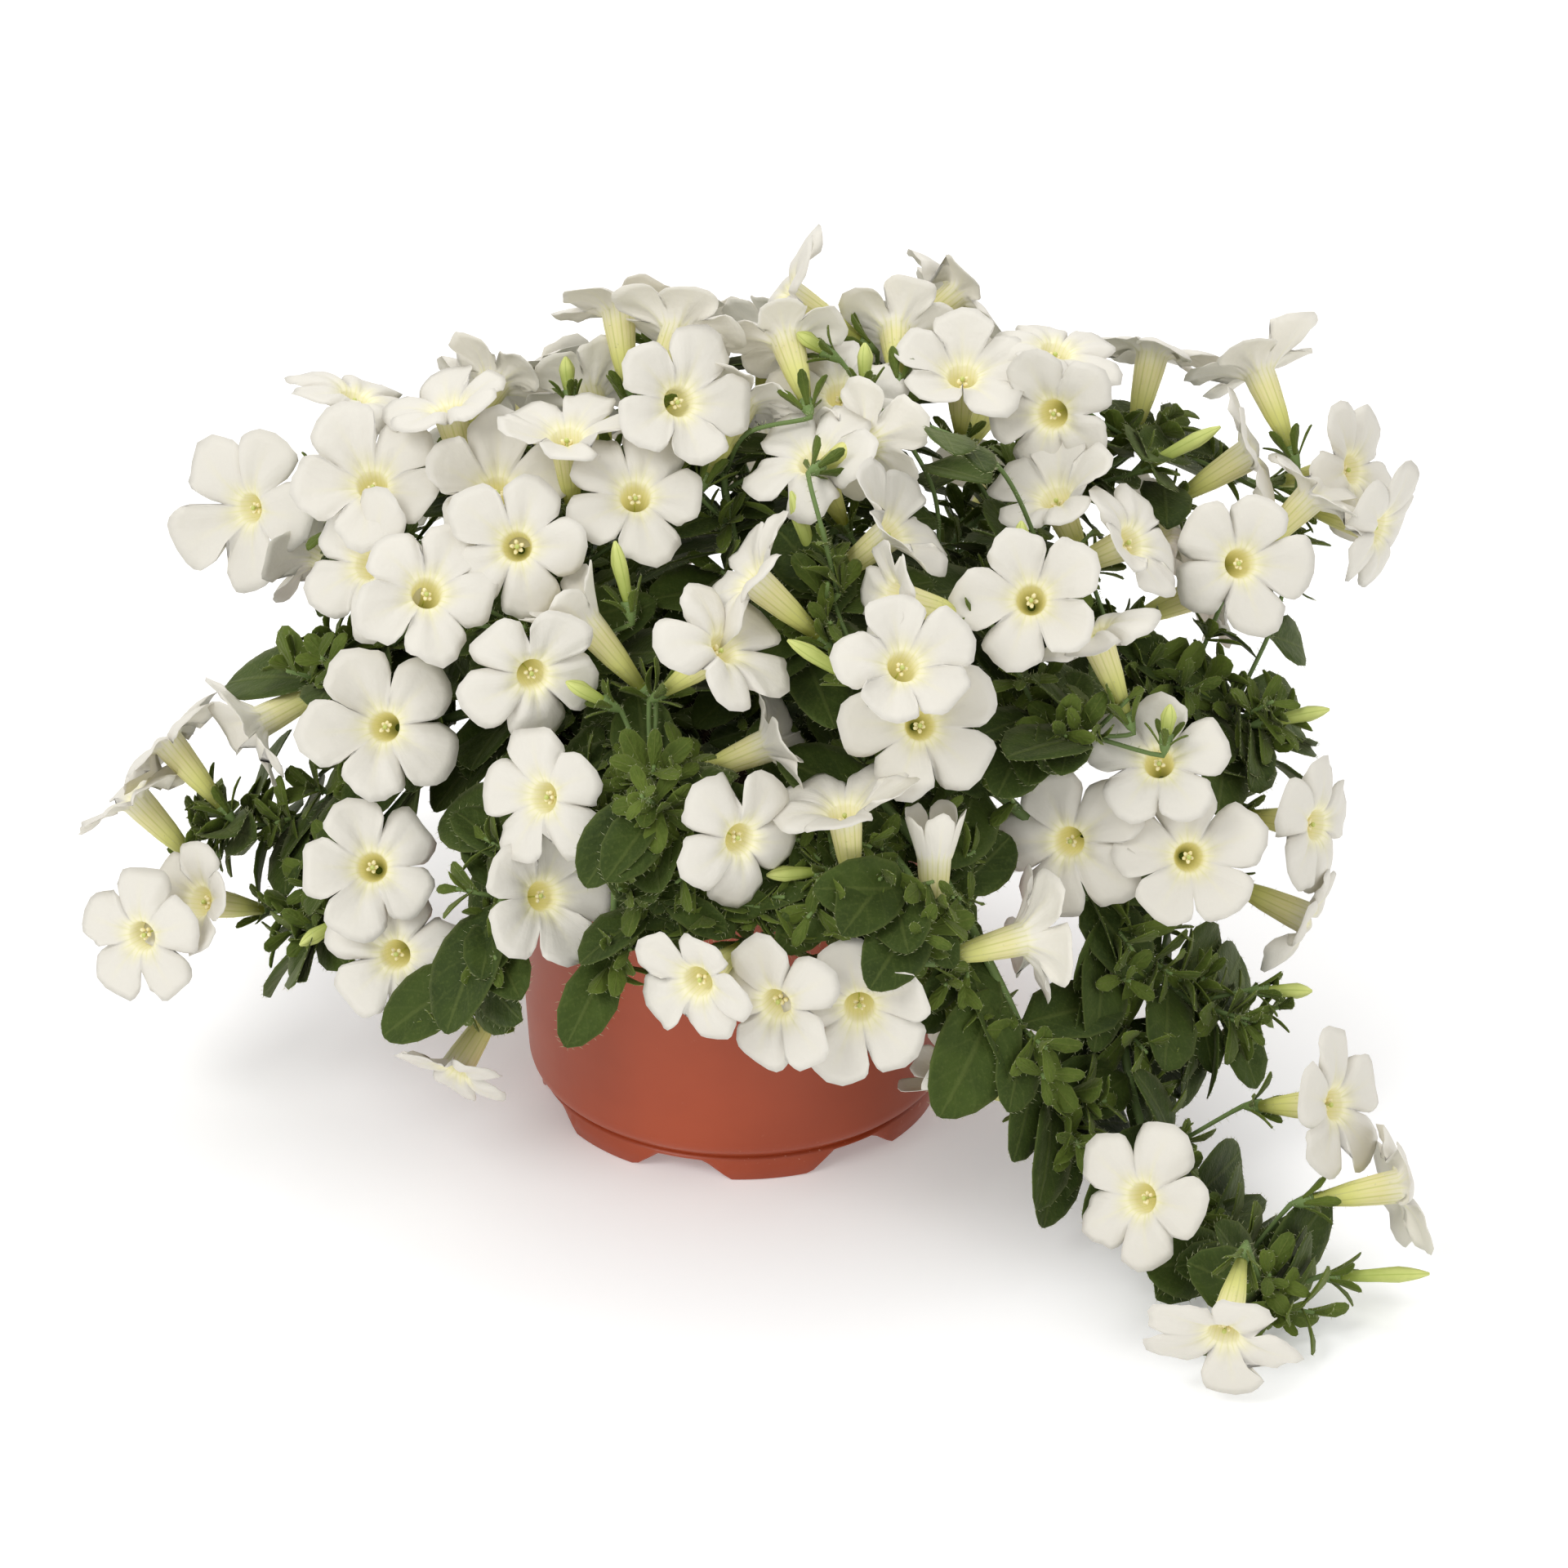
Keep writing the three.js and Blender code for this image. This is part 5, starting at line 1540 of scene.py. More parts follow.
class Plant:
    """The whole plant: its flowers, branches, stalks, buds and leaves, as the frame has them."""

    def __init__(self, nodes: dict[str, bpy.types.Object], box: tuple[Vector, Vector]) -> None:
        """Finds each piece's place in the frame.

        Args:
            nodes: The frame's nodes.
            box: The frame's box, in metres.
        """
        self.form = StemForm()
        self.flower_form = FlowerForm()
        self.traces = {stem: Trace(nodes[stem]) for stem in LEAFY_STEMS}
        self.flowers = [self.flower_form.flower(node, row) for node, rows in BLOOMS.items() for row in rows]
        shown = len(self.flowers)
        for node, rows in BACK_BLOOMS.items():
            for row in rows:
                place, facing = (to_view(np.array(row[k:k + 3])) for k in (0, 3))
                self.flowers.append(self.flower_form.flower(node, (*place, *facing, *row[6:])))
        self.room = Room(self.flowers, shown, box)
        self.branches = self.find_branches()
        joints = self.form.joints(self.branches)
        self.stalks = [self.find_stalk(joints, [flower.seat], flower.facing) for flower in self.flowers]
        self.stalks += [self.find_bud(joints, row) for row in BUDS]
        self.leaves = self.find_leaves()
        self.branches += self.rim_twigs()

    def find_branches(self) -> list[Branch]:
        """Returns every branch, on the way that its solid took."""
        found: list[Branch] = []
        for stem, (_, main, *forks) in LEAFY_STEMS.items():
            grown: list[Branch] = []
            for start, points in [(None, main), *forks]:
                ways = list(self.form.branch_ways(stem, start, points, grown))
                scores = [self.traces[stem].hits(self.form.branch_rings(way).reshape(-1, 3))
                          for way in ways]
                best = int(np.argmax(scores))
                if scores[best] < 3:
                    log.warning("a branch of %s isn't found", stem)
                grown.append(ways[best])
            found += grown
        return found

    def rim_twigs(self) -> Iterator[Branch]:
        """Yields the twigs that hang over the rim, each from its stem's nearest joint."""
        for stem, twigs in RIM_TWIGS.items():
            joints = np.concatenate([branch.path for branch in self.branches if branch.stem == stem])
            for points in twigs:
                controls = [np.array(point, float) for point in points]
                controls[0] = joints[np.argmin(np.linalg.norm(joints - controls[0], axis=1))]
                yield Branch(stem, curve_points(controls, 4), tuple(controls), False)

    def find_stalk(self, joints: Sequence[tuple[str, Array]], seats: Sequence[Array], facing: Array,
                   bud: float = 0.0) -> Stalk:
        """Finds the stalk that a flower or bud grows on.

        Args:
            joints: The places that it may start from.
            seats: The places that its end may have.
            facing: The way that its end faces.
            bud: The length of the bud on it, or 0.

        Returns:
            The stalk.
        """
        fallback: Optional[Stalk] = None
        radius = self.form.bud_radii[0] if bud else self.form.calyx
        for seat in seats:
            owners = [stem for stem, trace in self.traces.items() if trace.around(seat, radius) >= 3]
            near = [joint for joint in joints if joint[0] in owners]
            for way in self.form.stalk_ways(near, seat, facing):
                stalk = Stalk(way.stem, way.points, facing, bud)
                fallback = fallback or stalk
                rings = self.form.stalk_rings(stalk)[len(way.points) - 2:]
                needed = 5 if bud else 4
                if self.traces[way.stem].hits(rings.reshape(-1, 3)) >= needed:
                    return stalk
        if fallback is None:
            raise ValueError("a stalk has no place to start")
        log.warning("a stalk on %s isn't found", fallback.stem)
        return fallback

    def find_bud(self, joints: Sequence[tuple[str, Array]], row: Sequence[float]) -> Stalk:
        """Finds a bud's stalk from the bud's row."""
        right, up, near, face_right, face_up, face_near, length = row
        facing = unit(from_view(face_right, face_up, face_near))
        seats = [from_view(right, up, near + shift) for shift in self.form.bud_shifts]
        return self.find_stalk(joints, seats, facing, length)

    def find_leaves(self) -> dict[tuple[int, int], Blade]:
        """Returns the leaves, by the branch's number and the joint's."""
        found = {}
        for number, branch in enumerate(self.branches):
            draw = Dice(SEED + 131 * (number + 1))
            path = branch.path
            for i in range(branch.first, len(path) - 1):
                root = path[i] + self.form.leaf_joint * (path[i + 1] - path[i])
                ways = self.form.leaf_ways(root, unit(path[i + 1] - path[i]), 1 if i % 2 else -1, draw)
                scores = [self.traces[branch.stem].hits(self.form.leaf_corners(way)) for way in ways]
                best = int(np.argmax(scores))
                if scores[best] >= 5:
                    found[number, i] = ways[best]
        return found


@dataclass
class Blooms:
    """The open flowers: petals in one sleeve with their tube, stamens and short hairs."""

    plant: Plant
    anther_ring: float = 1.25
    anther_depth: float = 1.6
    anther: tuple[float, float, float] = (0.9, 0.75, 1.1)
    stigma: float = 0.8
    style: float = 0.3
    tube_hairs: int = 34

    def build(self) -> None:
        """Makes one piece for each node of flowers."""
        finishes = [
            PetalFinish().build(),
            GrowthFinish("anther", (0.85, 0.74, 0.40), (0.90, 0.82, 0.52), 0.8).build(),
            GrowthFinish("stigma", (0.52, 0.58, 0.16), (0.60, 0.64, 0.22), 0.35).build(),
            GrowthFinish("pale_hair", (0.66, 0.66, 0.44), (0.80, 0.80, 0.66), 0.5).build(),
        ]
        stacks: dict[str, Stack] = {}
        for flower in self.plant.flowers:
            self.grow(stacks.setdefault(flower.node, Stack()), flower)
        for node, stack in stacks.items():
            stack.piece(node + "_petals", node, Slot.BLOOM, finishes)

    def grow(self, stack: Stack, flower: Flower) -> None:
        """Adds one flower to its piece.

        Args:
            stack: The piece.
            flower: The flower.
        """
        form = self.plant.flower_form
        draw = np.random.default_rng(flower.seed + 1)
        sleeve = sleeve_template(form.columns, form.rows)
        stack.add(sleeve, form.place(flower, sleeve), PETAL, draw.uniform(), outer_uvs(sleeve))
        heart = flower.mouth - flower.facing * self.anther_depth
        bead = bead_template(6, 5)
        for k in range(form.lobe_count):
            turn = 2 * math.pi * (k + draw.uniform(0.2, 0.8)) / form.lobe_count
            out = sideways(flower.axes, turn)
            lean = unit(flower.facing + 0.35 * out)
            side = np.cross(lean, out)
            basis = np.array([out * self.anther[0], side * self.anther[1], lean * self.anther[2]])
            middle = heart + out * self.anther_ring * draw.uniform(0.6, 1.2)
            middle = middle - flower.facing * draw.uniform(0, 1.6)
            stack.add(bead, middle + bead.points @ basis, ANTHER, draw.uniform())
        stack.add(bead, heart + flower.facing * 0.9 + bead.points * self.stigma, STIGMA)
        post = post_template(5, 1)
        reach = np.array([self.style, self.style, 14.0])
        foot = heart - flower.facing * 13.4
        stack.add(post, foot + (post.points * reach) @ flower.axes, STIGMA)
        turn = draw.uniform(0, 1, self.tube_hairs)
        row = draw.uniform(0.03, 0.36, self.tube_hairs)
        roots, out = form.outside(flower, turn, row)
        ways = out + 0.35 * flower.facing + draw.normal(0, 0.2, out.shape)
        add_hairs(stack, PALE_HAIR, roots, ways, draw.uniform(0.8, 1.4, self.tube_hairs), 0.075)


@dataclass
class LeafyStems:
    """The stems with their stalks, calyces, buds, leaves, rosettes and hairs."""

    plant: Plant
    stem_sides: int = 8
    stalk_sides: int = 7
    stem_radii: tuple[float, float, float] = (2.3, 1.7, 1.0)
    stalk_radius: float = 0.72
    cup: tuple[tuple[float, float], ...] = ((0, 0.85), (1.6, 1.35), (3.4, 1.95), (5.2, 2.2), (6.8, 2.25))
    leaf_thick: float = 0.5
    small_thick: float = 0.55
    margin_hairs: int = 16
    small_hairs: int = 5
    hair: tuple[float, float] = (0.9, 1.7)
    bare: float = 24
    shoot_step: float = 8.5
    tries: int = 8
    roll: float = 0.55
    shoot_leaves: int = 7
    spiral: float = 2.4
    extra_leaves: tuple[tuple[float, int], ...] = ((0.35, -1), (0.85, 1), (0.85, -1), (0.6, 1))
    heart: Array = field(default_factory=lambda: np.array([0.0, 0.0, 130.0]))
    inner: float = 48

    def build(self) -> None:
        """Makes one piece for each leafy stem."""
        finishes = [
            GrowthFinish("stem", (0.10, 0.15, 0.045), (0.16, 0.24, 0.07)).build(),
            LeafFinish("leaf", (0.021, 0.038, 0.004), (0.050, 0.080, 0.009), (0.105, 0.135, 0.030)).build(),
            LeafFinish("young_leaf", (0.050, 0.080, 0.008), (0.112, 0.158, 0.019), (0.16, 0.195, 0.040),
                       4.0).build(),
            GrowthFinish("bud", (0.30, 0.38, 0.06), (0.62, 0.66, 0.22), 0.5, 5.0).build(),
            GrowthFinish("downy_hair", (0.42, 0.45, 0.21), (0.72, 0.73, 0.50), 0.5).build(),
        ]
        for stem in LEAFY_STEMS:
            stack = Stack()
            self.grow_branches(stack, stem)
            for number, stalk in enumerate(self.plant.stalks):
                if stalk.stem == stem:
                    self.grow_stalk(stack, stalk, number)
            stack.piece(stem + "_grown", stem, Slot.LEAF, finishes)

    def tube(self, stack: Stack, path: Array, radii: Sequence[float], sides: int) -> None:
        """Adds a tapered tube, its ends closed.

        Args:
            stack: The piece.
            path: The tube's middle.
            radii: Its radius at each point of the path.
            sides: Its sides.
        """
        post = post_template(sides, len(path) - 1)
        rings = tube_rings(path, radii, sides)
        x, y, z = post.points.T
        side = np.floor(np.arctan2(y, x) / (2 * math.pi) * sides + 0.5).astype(int)
        first = int(side.min())
        row = np.floor(z * (len(path) - 1) + 0.5).astype(int)
        stack.add(post, rings[row, (side - first) % sides], STEM)

    def hairs_along(self, stack: Stack, path: Array, radius: float, density: float, seed: int) -> None:
        """Adds hairs round a stem or stalk.

        Args:
            stack: The piece.
            path: The stem's middle.
            radius: Its radius.
            density: Hairs for each millimetre.
            seed: The draws' seed.
        """
        draw = np.random.default_rng(seed)
        count = int(length_of(path) * density)
        at = draw.uniform(0, len(path) - 1.001, count)
        i = at.astype(int)
        part = (at - i)[:, None]
        middle = path[i] * (1 - part) + path[i + 1] * part
        along = unit(path[i + 1] - path[i])
        out = draw.normal(0, 1, (count, 3))
        out = unit(out - along * (out * along).sum(axis=1, keepdims=True))
        lengths = draw.uniform(*self.hair, count)
        add_hairs(stack, DOWNY_HAIR, middle + out * radius * 0.9, out + 0.2 * along, lengths)

    def leaf(self, stack: Stack, blade: Blade, template: Template, finish: int, tint: float) -> None:
        """Adds a leaf with its fringe of hairs.

        Args:
            stack: The piece.
            blade: The leaf.
            template: The plate that it is laid on.
            finish: The number of its finish.
            tint: The value that its finish varies by.
        """
        large = blade.outline is Outline.OVATE
        thick = self.leaf_thick if large else self.small_thick
        stack.add(template, blade.place(template, thick), finish, tint)
        count = self.margin_hairs if large else self.small_hairs
        roots, ways = blade.margin(count)
        lengths = np.random.default_rng(count).uniform(*self.hair, len(roots))
        add_hairs(stack, DOWNY_HAIR, roots, ways, lengths * (1 if large else 0.85))

    def add_leaf(self, stack: Stack, ways: Sequence[Blade], size: float, tint: float) -> bool:
        """Adds the first of a leaf's ways that has room.

        Args:
            stack: The piece.
            ways: The leaf's ways.
            size: Its size against a full leaf.
            tint: The value that its finish varies by.

        Returns:
            Whether there was room.
        """
        across, along = (grid.ravel() for grid in np.meshgrid([-1, 0, 1], [0.25, 0.5, 0.75, 1]))
        for way in ways[:self.tries]:
            face = turned(way.normal, way.along, self.roll * math.sin(3 * way.phase))
            blade = Blade(way.root, way.along, face, way.length * size, way.width * size,
                          way.droop, way.fold, Outline.OVATE, 0.3 * size, way.phase)
            if self.plant.room.is_free(blade.surface(across.astype(float), along)):
                self.leaf(stack, blade, plate_template(4, 6), LEAF, tint)
                return True
        return False

    def tuft(self, stack: Stack, place: Array, along: Array, count: int, size: float,
             stretch: float, seed: int) -> None:
        """Adds small leaves round an axis, the youngest at its tip.

        Args:
            stack: The piece.
            place: Where the first one starts.
            along: The way that the axis points.
            count: The number of leaves.
            size: The length of the first.
            stretch: How far along the axis they go.
            seed: The draws' seed.
        """
        draw = Dice(seed)
        axes = axes_of(unit(along), 2 * math.pi * draw.draw())
        out = axes[2]
        for k in range(count):
            part = k / count
            spread = math.radians(draw.within(22, 46) + 36 * (1 - part))
            heading = out * math.cos(spread) + sideways(axes, self.spiral * k) * math.sin(spread)
            length = size * (1 - 0.5 * part) * draw.within(0.85, 1.1)
            face = unit(out - heading * (out @ heading))
            width = length * (draw.within(0.42, 0.54) - 0.12 * part)
            blade = Blade(place + out * stretch * part, heading, face, length, width,
                          draw.within(0.0, 0.3), 0.35, Outline.SPATULATE)
            tested = blade.surface(np.array([-1.0, 1, -1, 1, 0]), np.array([0.35, 0.35, 0.7, 0.7, 1]))
            if self.plant.room.is_free(tested):
                self.leaf(stack, blade, plate_template(2, 5), YOUNG_LEAF, draw.draw())

    def shoot(self, stack: Stack, root: Array, along: Array, length: float, seed: int) -> None:
        """Adds a short side shoot with a tuft of leaves, if there is room.

        Args:
            stack: The piece.
            root: Where it starts.
            along: The way that it points at first.
            length: Its length.
            seed: The draws' seed.
        """
        draw = Dice(seed)
        axes = axes_of(unit(along), 2 * math.pi * draw.draw())
        for k in range(self.tries):
            heading = unit(axes[2] + (0.3 + 0.1 * k) * sideways(axes, self.spiral * k))
            tip = root + heading * length
            if self.plant.room.is_free(np.array([tip - heading * 3, tip, tip + heading * 6])):
                self.tube(stack, np.linspace(root, tip, 3), (0.85, 0.75, 0.6), 5)
                self.hairs_along(stack, np.linspace(root, tip, 3), 0.75, 1.6, seed)
                self.tuft(stack, root + heading * 3, heading, self.shoot_leaves, draw.within(15, 20),
                          length - 3, seed + 1)
                return

    def grow_branches(self, stack: Stack, stem: str) -> None:
        """Adds a stem's branches, their leaves and the tufts at their tips.

        Args:
            stack: The piece.
            stem: The stem's node.
        """
        form = self.plant.form
        for number, branch in enumerate(self.plant.branches):
            if branch.stem != stem:
                continue
            path = curve_points(branch.controls, 4 * (len(branch.path) - 1))
            part = np.arange(len(path)) / (len(path) - 1)
            start = self.stem_radii[0] if branch.rooted else self.stem_radii[1]
            self.tube(stack, path, start + (self.stem_radii[2] - start) * part, self.stem_sides)
            self.hairs_along(stack, path[2:], 1.4, 2.0, SEED + number)
            tip = unit(path[-1] - path[-2])
            self.tuft(stack, path[-1], tip, 10, 16, 2, SEED + 17 * number)
            draw = Dice(SEED + 977 * (number + 1))
            for i in range(branch.first - 1, len(branch.path) - 1):
                start, end = branch.path[i:i + 2]
                tangent = unit(end - start)
                hand = 1 if i % 2 else -1
                own = self.plant.leaves.get((number, i))
                if own is not None:
                    self.leaf(stack, own, plate_template(6, 9), LEAF, draw.draw())
                for at, turn in self.extra_leaves:
                    side = turn * hand
                    root = start + at * (end - start)
                    ways = form.leaf_ways(root, tangent, side, draw)
                    self.add_leaf(stack, ways, draw.within(0.6, 0.9), draw.draw())
                    across = unit(np.cross(form.outward(root), tangent)) * side
                    aim = form.outward(root) + 0.5 * tangent + 0.8 * across
                    seed = SEED + int(9999 * draw.draw())
                    outer = side == hand and np.linalg.norm(root - self.heart) > self.inner
                    if at < 0.5 or at > 0.8 and outer:
                        self.shoot(stack, root, aim, draw.within(8, 20), seed)

    def grow_stalk(self, stack: Stack, stalk: Stalk, number: int) -> None:
        """Adds a stalk, its side leaves, its calyx, and its bud if it has one.

        Args:
            stack: The piece.
            stalk: The stalk.
            number: Its number, for its draws.
        """
        form = self.plant.form
        heel = stalk.points[-2]
        steps = max(4, int(length_of(stalk.points[:-1]) / 6))
        curve = curve_points(list(stalk.points), steps * (len(stalk.points) - 1))
        curve = curve[:steps * (len(stalk.points) - 2) + 1]
        cup = [heel + stalk.facing * at for at, _ in self.cup[1:]]
        radii = [self.stalk_radius] * (len(curve) - 1) + [radius for _, radius in self.cup]
        self.tube(stack, np.vstack([curve, cup]), radii, self.stalk_sides)
        self.hairs_along(stack, np.vstack([curve, cup]), 1.0, 1.6, SEED + 37 * number)
        self.sepals(stack, stalk, number)
        if stalk.bud:
            self.bud(stack, stalk)
        draw = Dice(SEED + 613 * (number + 1))
        whole = length_of(curve)
        leafy = whole - self.bare
        at, hand = 5.0, 1
        while at < leafy:
            root, tangent = point_along(curve, at)
            size = 0.88 - 0.42 * at / whole
            ways = form.leaf_ways(root, tangent, hand, draw)
            self.add_leaf(stack, ways, size * draw.within(0.85, 1.1), draw.draw())
            at, hand = at + self.shoot_step, -hand
        root, tangent = point_along(curve, max(leafy, 1.0))
        self.tuft(stack, root, tangent + form.outward(root), 6, 13, 1.5, SEED + 7 * number)

    def sepals(self, stack: Stack, stalk: Stalk, number: int) -> None:
        """Adds the five narrow sepals of a calyx."""
        draw = Dice(SEED + 71 * number)
        axes = axes_of(stalk.facing, 2 * math.pi * draw.draw())
        size = min(10.5, 5 + stalk.bud / 4) if stalk.bud else 10.5
        for k in range(5):
            turn = 2 * math.pi * k / 5
            out = sideways(axes, turn)
            spread = math.radians(draw.within(16, 40))
            heading = stalk.facing * math.cos(spread) + out * math.sin(spread)
            face = unit(heading * (out @ heading) - out)
            root = stalk.points[-2] + stalk.facing * 3.6 + out * 1.7
            blade = Blade(root, heading, face, size * draw.within(0.85, 1.1), 0.33 * size,
                          draw.within(0.05, 0.3), 0.3, Outline.SEPAL)
            self.leaf(stack, blade, plate_template(2, 5), YOUNG_LEAF, draw.draw())

    def bud(self, stack: Stack, stalk: Stalk) -> None:
        """Adds a closed bud, its petals furled."""
        post = post_template(15, 9)
        x, y, z = post.points.T
        turn = np.arctan2(y, x)
        stops = ((0, 1.2), (0.2, 1.75), (0.45, 2.1), (0.65, 2.35), (0.82, 1.8), (0.94, 1.05), (1, 0.4))
        radius = np.interp(z, *zip(*stops))
        radius = radius * (1 + 0.13 * smooth(0.3, 0.7, z) * np.cos(5 * turn + 4 * z))
        axes = axes_of(stalk.facing, 0)
        base = stalk.points[-1] - stalk.facing * 0.5
        length = stalk.bud + 0.5
        stack.add(post, places_round(base, axes, radius, turn, z * length), BUD)


@dataclass
class Pot:
    """The nursery pot: a rim band, a rounded foot edge, a groove, and a foot with notches."""

    height: float = 127
    rim_radius: float = 73.5
    rim_depth: float = 13
    mouth_radius: float = 70.6
    body_top: float = 71
    body_low: float = 66.5
    wall: float = 2.2
    floor_at: float = 9
    floor_thick: float = 2
    foot_radius: float = 63.5
    foot_height: float = 8.6
    foot_wall: float = 3.4
    groove: float = 0.8
    shoulder: float = 7
    notches: int = 7
    notch_from: float = 9
    notch_height: float = 6.4
    notch_top: float = 7.5
    notch_foot: float = 15.7
    columns: int = 168
    drains: int = 6
    drain_ring: float = 44
    drain_radius: float = 4.5

    def profile(self) -> list[tuple[float, float]]:
        """Returns radius and height, from under the floor round the rim to the floor's top."""
        foot, step, body, low = self.foot_radius, self.foot_height, self.body_top, self.body_low
        rim, top, mouth = self.rim_radius, self.height, self.mouth_radius
        inner_foot = foot - self.foot_wall
        under = top - self.rim_depth
        under_floor = self.floor_at - self.floor_thick
        shoulder = [
            (low + self.groove - self.shoulder * 0.45 * (1 - math.cos(turn)),
             step + self.shoulder - self.shoulder * 0.75 * math.sin(turn))
            for turn in (math.radians(a) for a in (80, 64, 48, 32, 16, 0))
        ]
        return [
            (0, under_floor), (inner_foot - 1, under_floor), (inner_foot, under_floor - 0.6),
            (inner_foot, 0.6), (inner_foot + 0.5, 0), (foot - 0.6, 0),
            (foot - 0.1, 0.6), (foot + 0.3, step - 1.3),
            (foot + 0.1, step - 0.8), (foot - 0.7, step - 0.3),
            (foot - 0.6, step + 0.2), *shoulder,
            ((low + body) / 2 + 0.7, 62), (body, under - 0.8),
            (body + 0.5, under), (rim - 0.7, under + 0.1),
            (rim - 0.1, under + 0.9), (rim, top - 1.2),
            (rim - 0.5, top - 0.2), (rim - 1.4, top),
            (mouth + 0.6, top - 0.1), (mouth, top - 0.9),
            (body - self.wall, under - self.wall), (low - self.wall, self.floor_at + 1),
            (low - self.wall - 1, self.floor_at), (0, self.floor_at),
        ]

    def notch(self, place: Vector) -> float:
        """Returns how far the foot's edge is cut away over a place."""
        period = 2 * math.pi / self.notches
        start = math.radians(self.notch_from) + math.pi / 2
        turn = (math.atan2(place.y, place.x) - start + period / 2) % period - period / 2
        away = abs(turn) * self.foot_radius
        part = (self.notch_foot - away) / (self.notch_foot - self.notch_top)
        return self.notch_height * min(max(part, 0), 1)

    def shell(self) -> bpy.types.Mesh:
        """Spins the profile and cuts the notches into the foot."""
        bm = spun([(radius * MM, height * MM) for radius, height in self.profile()], self.columns)
        bmesh.ops.remove_doubles(bm, verts=bm.verts[:], dist=1e-6)
        for vert in bm.verts:
            if vert.co.z < MM and vert.co.xy.length > 0.05:
                vert.co.z += self.notch(vert.co) * MM
        bmesh.ops.recalc_face_normals(bm, faces=bm.faces[:])
        return mesh_of("pot_shell", bm)

    def drill(self) -> bpy.types.Mesh:
        """Makes the six round bars that the drain holes are cut with."""
        bm = bmesh.new()
        for k in range(self.drains):
            turn = 2 * math.pi * (k + 0.5) / self.drains
            place = Vector((math.cos(turn), math.sin(turn), 0)) * self.drain_ring * MM
            place.z = self.floor_at * MM
            bmesh.ops.create_cone(bm, cap_ends=True, segments=24, radius1=self.drain_radius * MM,
                                  radius2=self.drain_radius * MM, depth=8 * MM,
                                  matrix=Matrix.Translation(place))
        return mesh_of("drill", bm)

    def build(self) -> None:
        """Makes the pot."""
        raw = put("pot_raw", self.shell())
        drill = put("drill", self.drill())
        cut = raw.modifiers.new("drains", "BOOLEAN")
        cut.operation = "DIFFERENCE"
        cut.solver = "EXACT"
        cut.object = drill
        ready = raw.evaluated_get(bpy.context.evaluated_depsgraph_get())
        mesh = bpy.data.meshes.new_from_object(ready)
        mesh.name = "nursery_pot"
        for thing in (raw, drill):
            bpy.data.objects.remove(thing)
        mesh.shade_smooth()
        mesh.set_sharp_from_angle(angle=math.radians(38))
        mesh.materials.clear()
        mesh.materials.append(PotFinish().build())
        stand_for(mesh, "pot", Slot.POT)


@dataclass
class Soil:
    """The potting soil, crumbly on top."""

    top: float = 113
    crown: float = 3
    low: float = 9.35
    radius_low: float = 63.6
    radius_top: float = 67.9
    rings: int = 16
    columns: int = 72
    rough: float = 1.0
    crumbs: int = 260

    def build(self) -> None:
        """Makes the soil."""
        stack = Stack()
        draw = np.random.default_rng(SEED)
        part = np.linspace(1, 0, self.rings)
        rows = [(0, self.low), (self.radius_low, self.low)]
        rows += [(self.radius_top * p, self.top + self.crown * (1 - p * p)) for p in part]
        bm = spun(rows, self.columns)
        bmesh.ops.remove_doubles(bm, verts=bm.verts[:], dist=1e-4)
        for vert in bm.verts:
            if vert.co.z > self.top - 1 and vert.co.xy.length < self.radius_top - 1:
                vert.co.z += draw.uniform(-self.rough, self.rough)
        bmesh.ops.recalc_face_normals(bm, faces=bm.faces[:])
        body = Template.of(bm, turn_uv)
        stack.add(body, body.points, 0)
        bm = bmesh.new()
        bmesh.ops.create_icosphere(bm, subdivisions=1, radius=1)
        crumb = Template.of(bm, turn_uv)
        turn = draw.uniform(0, 2 * math.pi, self.crumbs)
        radius = (self.radius_top - 3) * np.sqrt(draw.uniform(0, 1, self.crumbs))
        height = self.top + self.crown * (1 - (radius / self.radius_top) ** 2)
        places = np.stack([radius * np.cos(turn), radius * np.sin(turn), height], axis=1)
        sizes = draw.uniform(0.6, 2.0, (self.crumbs, 1, 3))
        stack.add(crumb, places[:, None] + crumb.points * sizes, 0)
        stack.piece("potting_soil", "soil", Slot.SOIL, [SoilFinish().build()])


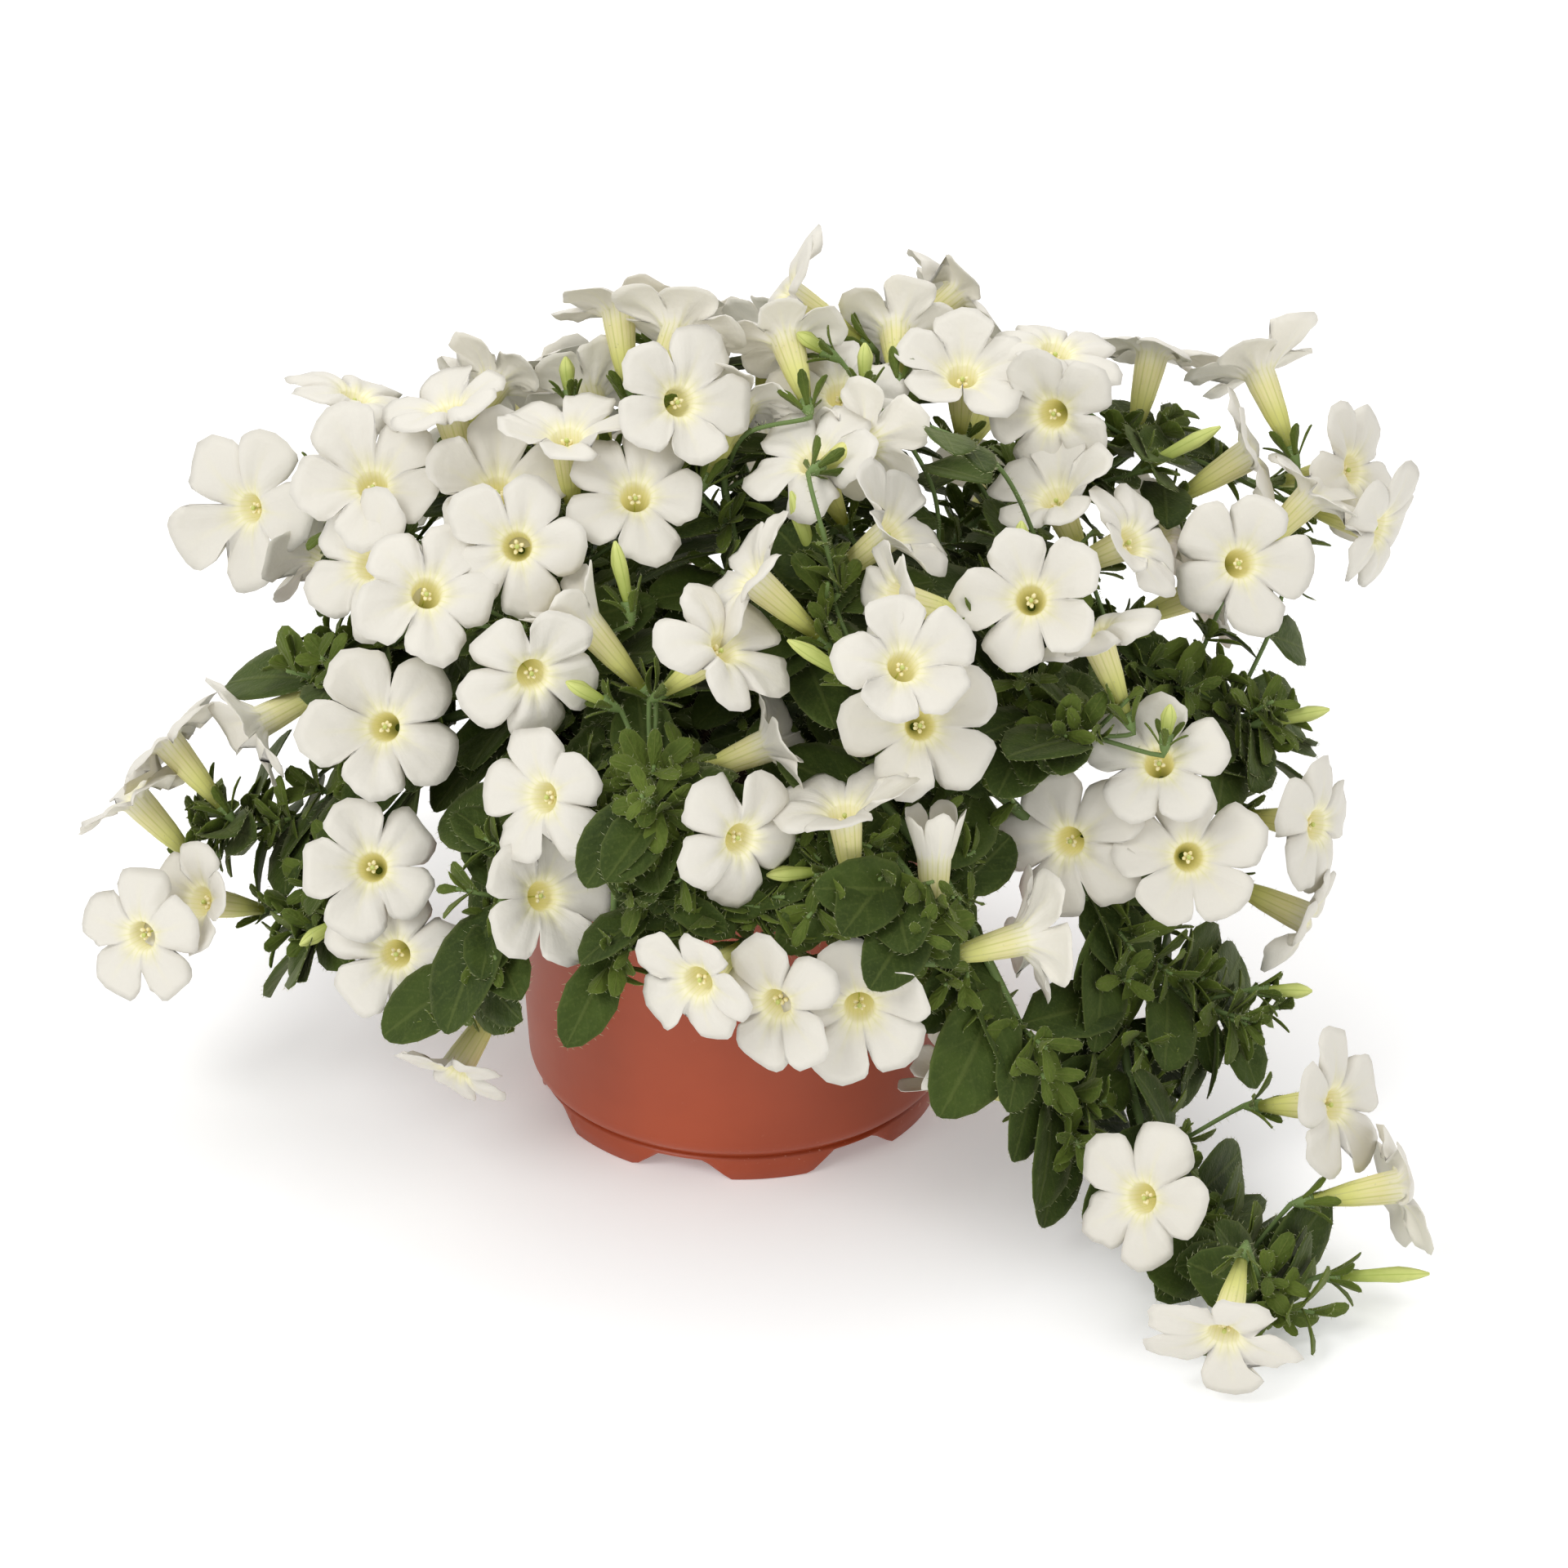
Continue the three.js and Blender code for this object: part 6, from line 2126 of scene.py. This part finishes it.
@dataclass
class Studio:
    """The camera at the photograph's angle, the pale floor and the soft light."""

    lens: float = 122.08
    floor: float = 6.0
    under: float = 0.2

    @staticmethod
    def seen(view: Array) -> Array:
        """Returns where the viewer sees view places, in millimetres at the pot's depth."""
        return (view[..., :2] - VIEW_AIM) * (VIEW_DISTANCE / (VIEW_DISTANCE - view[..., 2:]))

    def camera(self) -> None:
        """Makes the camera."""
        data = bpy.data.cameras.new("camera")
        data.lens = self.lens
        data.sensor_width = 36
        data.clip_start, data.clip_end = 0.1, 20
        camera = put("camera", data)
        camera.location = Vector(from_view(*VIEW_AIM, VIEW_DISTANCE)) * MM
        camera.rotation_euler = (math.pi / 2 - VIEW_PITCH, 0, 0)
        bpy.context.scene.camera = camera

    def lamp(self, name: str, place: Colour, size: float, power: float) -> None:
        """Makes one soft lamp that points at the plant.

        Args:
            name: Its name.
            place: Where it hangs, in metres.
            size: The side of its square, in metres.
            power: Its power, in watts.
        """
        data = bpy.data.lights.new(name, "AREA")
        data.shape = "SQUARE"
        data.size = size
        data.energy = power
        lamp = put(name, data)
        lamp.location = place
        aim = Vector((0, 0, 0.12)) - lamp.location
        lamp.rotation_euler = aim.to_track_quat("-Z", "Y").to_euler()

    def build(self) -> None:
        """Makes the camera, the floor, the lamps and the pale surroundings."""
        self.camera()
        bm = bmesh.new()
        bmesh.ops.create_grid(bm, x_segments=2, y_segments=2, size=self.floor)
        mesh = mesh_of("floor", bm)
        mesh.transform(Matrix.Translation((0, 0, -self.under * MM)))
        mesh.materials.append(GroundFinish().build())
        put("floor", mesh)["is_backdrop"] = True
        self.lamp("key", (-0.9, -1.0, 1.4), 0.8, 12.0)
        self.lamp("fill", (1.0, -0.9, 0.9), 1.1, 2.5)
        self.lamp("top", (0.1, 0.7, 1.4), 1.0, 7.0)
        world = bpy.data.worlds.new("studio")
        world.use_nodes = True
        sky = world.node_tree.nodes["Background"]
        sky.inputs["Color"].default_value = (1.0, 1.0, 1.0, 1.0)
        sky.inputs["Strength"].default_value = 0.75
        bpy.context.scene.world = world
        bpy.context.scene.view_settings.view_transform = "Standard"


def corners(box: tuple[Vector, Vector]) -> list[list[float]]:
    """Returns a box's two corners as plain lists."""
    return [list(corner) for corner in box]


def main() -> None:
    """Builds the studio, the pot, the soil and the plant."""
    logging.basicConfig(level=logging.INFO, format="%(message)s")
    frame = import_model()
    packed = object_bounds()
    Studio().build()
    Pot().build()
    Soil().build()
    plant = Plant(frame["nodes"], packed)
    log.info("%d flowers, %d branches, %d stalks, %d leaves found", len(plant.flowers),
             len(plant.branches), len(plant.stalks), len(plant.leaves))
    Blooms(plant).build()
    LeafyStems(plant).build()
    {"packed": corners(packed), "dressed": corners(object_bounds())}


if __name__ == "__main__":
    main()
